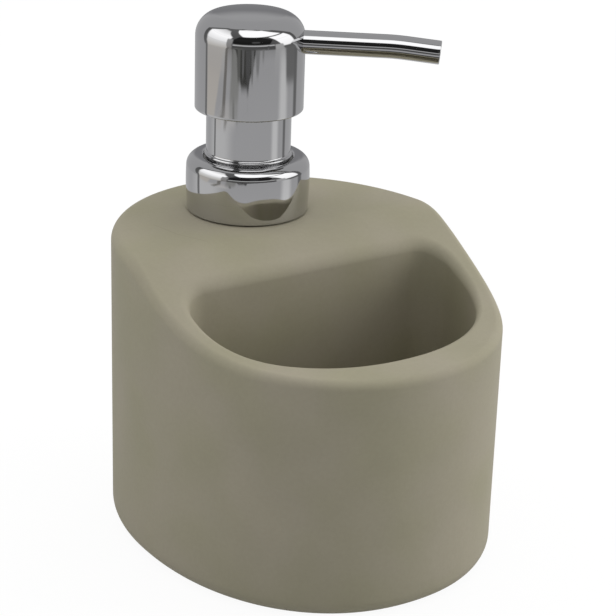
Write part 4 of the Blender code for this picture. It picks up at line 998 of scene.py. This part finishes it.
class DISPENSER_OT_studio(bpy.types.Operator):
    """Set up the floor, the soft lamps, the painted room, the white surroundings and the camera"""

    bl_idname = "dispenser.studio"
    bl_label = "Studio"

    def execute(self, context):
        reach = (-FLOOR_REACH, FLOOR_REACH)
        flat = np.stack(np.meshgrid(reach, reach) + [np.zeros((2, 2))], axis=-1)
        floor_finish, tree, shader, _ = new_finish("Matt white floor")
        feed(tree, shader, {"Base Color": (*context.scene.dispenser_colours.floor, 1), "Roughness": 0.9})
        seen = add(tree, "ShaderNodeLightPath").outputs["Is Camera Ray"]
        glow = add(tree, "ShaderNodeEmission", {"Color": (1, 1, 1, 1), "Strength": FLOOR_GLOW})
        share = add(tree, "ShaderNodeMath", {0: seen, 1: FLOOR_GLOW_SHARE}, operation="MULTIPLY").outputs[0]
        halves = {0: share, 1: shader.outputs["BSDF"], 2: glow.outputs["Emission"]}
        both = add(tree, "ShaderNodeMixShader", halves)
        output = next(node for node in tree.nodes if node.type == "OUTPUT_MATERIAL")
        feed(tree, output, {"Surface": both.outputs["Shader"]})
        floor = stage_mesh("floor", flat, floor_finish)
        floor.visible_glossy = False
        painted_reflection_room()
        for name, place_at, size, power in LAMPS:
            lamp(name, place_at, LAMP_TARGET, size, power)
        world = bpy.data.worlds.new("White surroundings")
        context.scene.world = world
        world.use_nodes = True
        tree = world.node_tree
        tree.nodes.clear()
        path = add(tree, "ShaderNodeLightPath").outputs
        white = path["Is Camera Ray"]
        for ray in ("Is Glossy Ray", "Is Transmission Ray"):
            white = add(tree, "ShaderNodeMath", {0: white, 1: path[ray]}, operation="MAXIMUM").outputs[0]
        soft, plain = (
            add(tree, "ShaderNodeBackground", {"Color": (tone, tone, tone, 1)}).outputs["Background"]
            for tone in (SURROUNDINGS, 1)
        )
        mixed = add(tree, "ShaderNodeMixShader", {0: white, 1: soft, 2: plain})
        add(tree, "ShaderNodeOutputWorld", {"Surface": mixed.outputs["Shader"]})
        context.scene.view_settings.view_transform = "Standard"
        set_camera(context.scene)
        return {"FINISHED"}


def set_camera(scene):
    """The photograph's viewpoint: where it stands, how it is turned and how long its lens is."""
    bearing, elevation, roll = -0.588515, 0.384416, 0.031919
    distance, side, rise, depth_shift = 0.584329, -0.0041226, -0.0598726, 0.0020704
    focal_pixels = 2008.8
    image_pixels = 616
    flat = math.cos(elevation)
    back = Vector((math.sin(bearing) * flat, -math.cos(bearing) * flat, math.sin(elevation)))
    level = Vector((math.cos(bearing), math.sin(bearing), 0))
    upright = back.cross(level)
    right = math.cos(roll) * level + math.sin(roll) * upright
    up = math.cos(roll) * upright - math.sin(roll) * level
    data = bpy.data.cameras.new("photo_camera")
    data.sensor_width = 36
    data.lens = data.sensor_width * focal_pixels / image_pixels
    camera = bpy.data.objects.new("photo_camera", data)
    bpy.context.collection.objects.link(camera)
    turned_to = Matrix((right, up, back)).transposed().to_4x4()
    turned_to.translation = back * distance - right * side - up * rise + Vector((0, depth_shift, 0))
    camera.matrix_world = turned_to
    scene.camera = camera


class DISPENSER_OT_chrome(bpy.types.Operator):
    """Make the chrome that the collar, sleeve, head and spout share"""

    bl_idname = "dispenser.chrome"
    bl_label = "Chrome finish"

    def execute(self, context):
        context.scene["chrome"] = mirror_chrome_plate(context.scene.dispenser_colours)
        return {"FINISHED"}


OPERATORS = (
    DISPENSER_OT_chrome,
    DISPENSER_OT_ceramic,
    DISPENSER_OT_collar,
    DISPENSER_OT_sleeve,
    DISPENSER_OT_head,
    DISPENSER_OT_spout,
    DISPENSER_OT_spring,
    DISPENSER_OT_inner_finishes,
    DISPENSER_OT_studio,
)


class DISPENSER_PT_panel(bpy.types.Panel):
    """Lists the steps that build the dispenser"""

    bl_idname = "DISPENSER_PT_panel"
    bl_label = "Soap dispenser"
    bl_space_type = "VIEW_3D"
    bl_region_type = "UI"
    bl_category = "Dispenser"

    def draw(self, context):
        for operator in OPERATORS:
            self.layout.operator(operator.bl_idname)
        scene = context.scene
        for group in (scene.dispenser_ceramic, scene.dispenser_pump, scene.dispenser_colours):
            box = self.layout.box()
            for name in group.__annotations__:
                box.prop(group, name)


GROUPS = (CeramicSizes, PumpSizes, FinishColours)


def register():
    for made in GROUPS + OPERATORS + (DISPENSER_PT_panel,):
        bpy.utils.register_class(made)
    bpy.types.Scene.dispenser_ceramic = PointerProperty(type=CeramicSizes)
    bpy.types.Scene.dispenser_pump = PointerProperty(type=PumpSizes)
    bpy.types.Scene.dispenser_colours = PointerProperty(type=FinishColours)


def unregister():
    del bpy.types.Scene.dispenser_colours
    del bpy.types.Scene.dispenser_pump
    del bpy.types.Scene.dispenser_ceramic
    for made in reversed(GROUPS + OPERATORS + (DISPENSER_PT_panel,)):
        bpy.utils.unregister_class(made)


def main():
    register()
    bpy.ops.dispenser.chrome()
    bpy.ops.dispenser.ceramic()
    bpy.ops.dispenser.collar()
    bpy.ops.dispenser.sleeve()
    bpy.ops.dispenser.head()
    bpy.ops.dispenser.spout()
    bpy.ops.dispenser.spring()
    bpy.ops.dispenser.inner_finishes()
    bpy.ops.dispenser.studio()


if __name__ == "__main__":
    main()
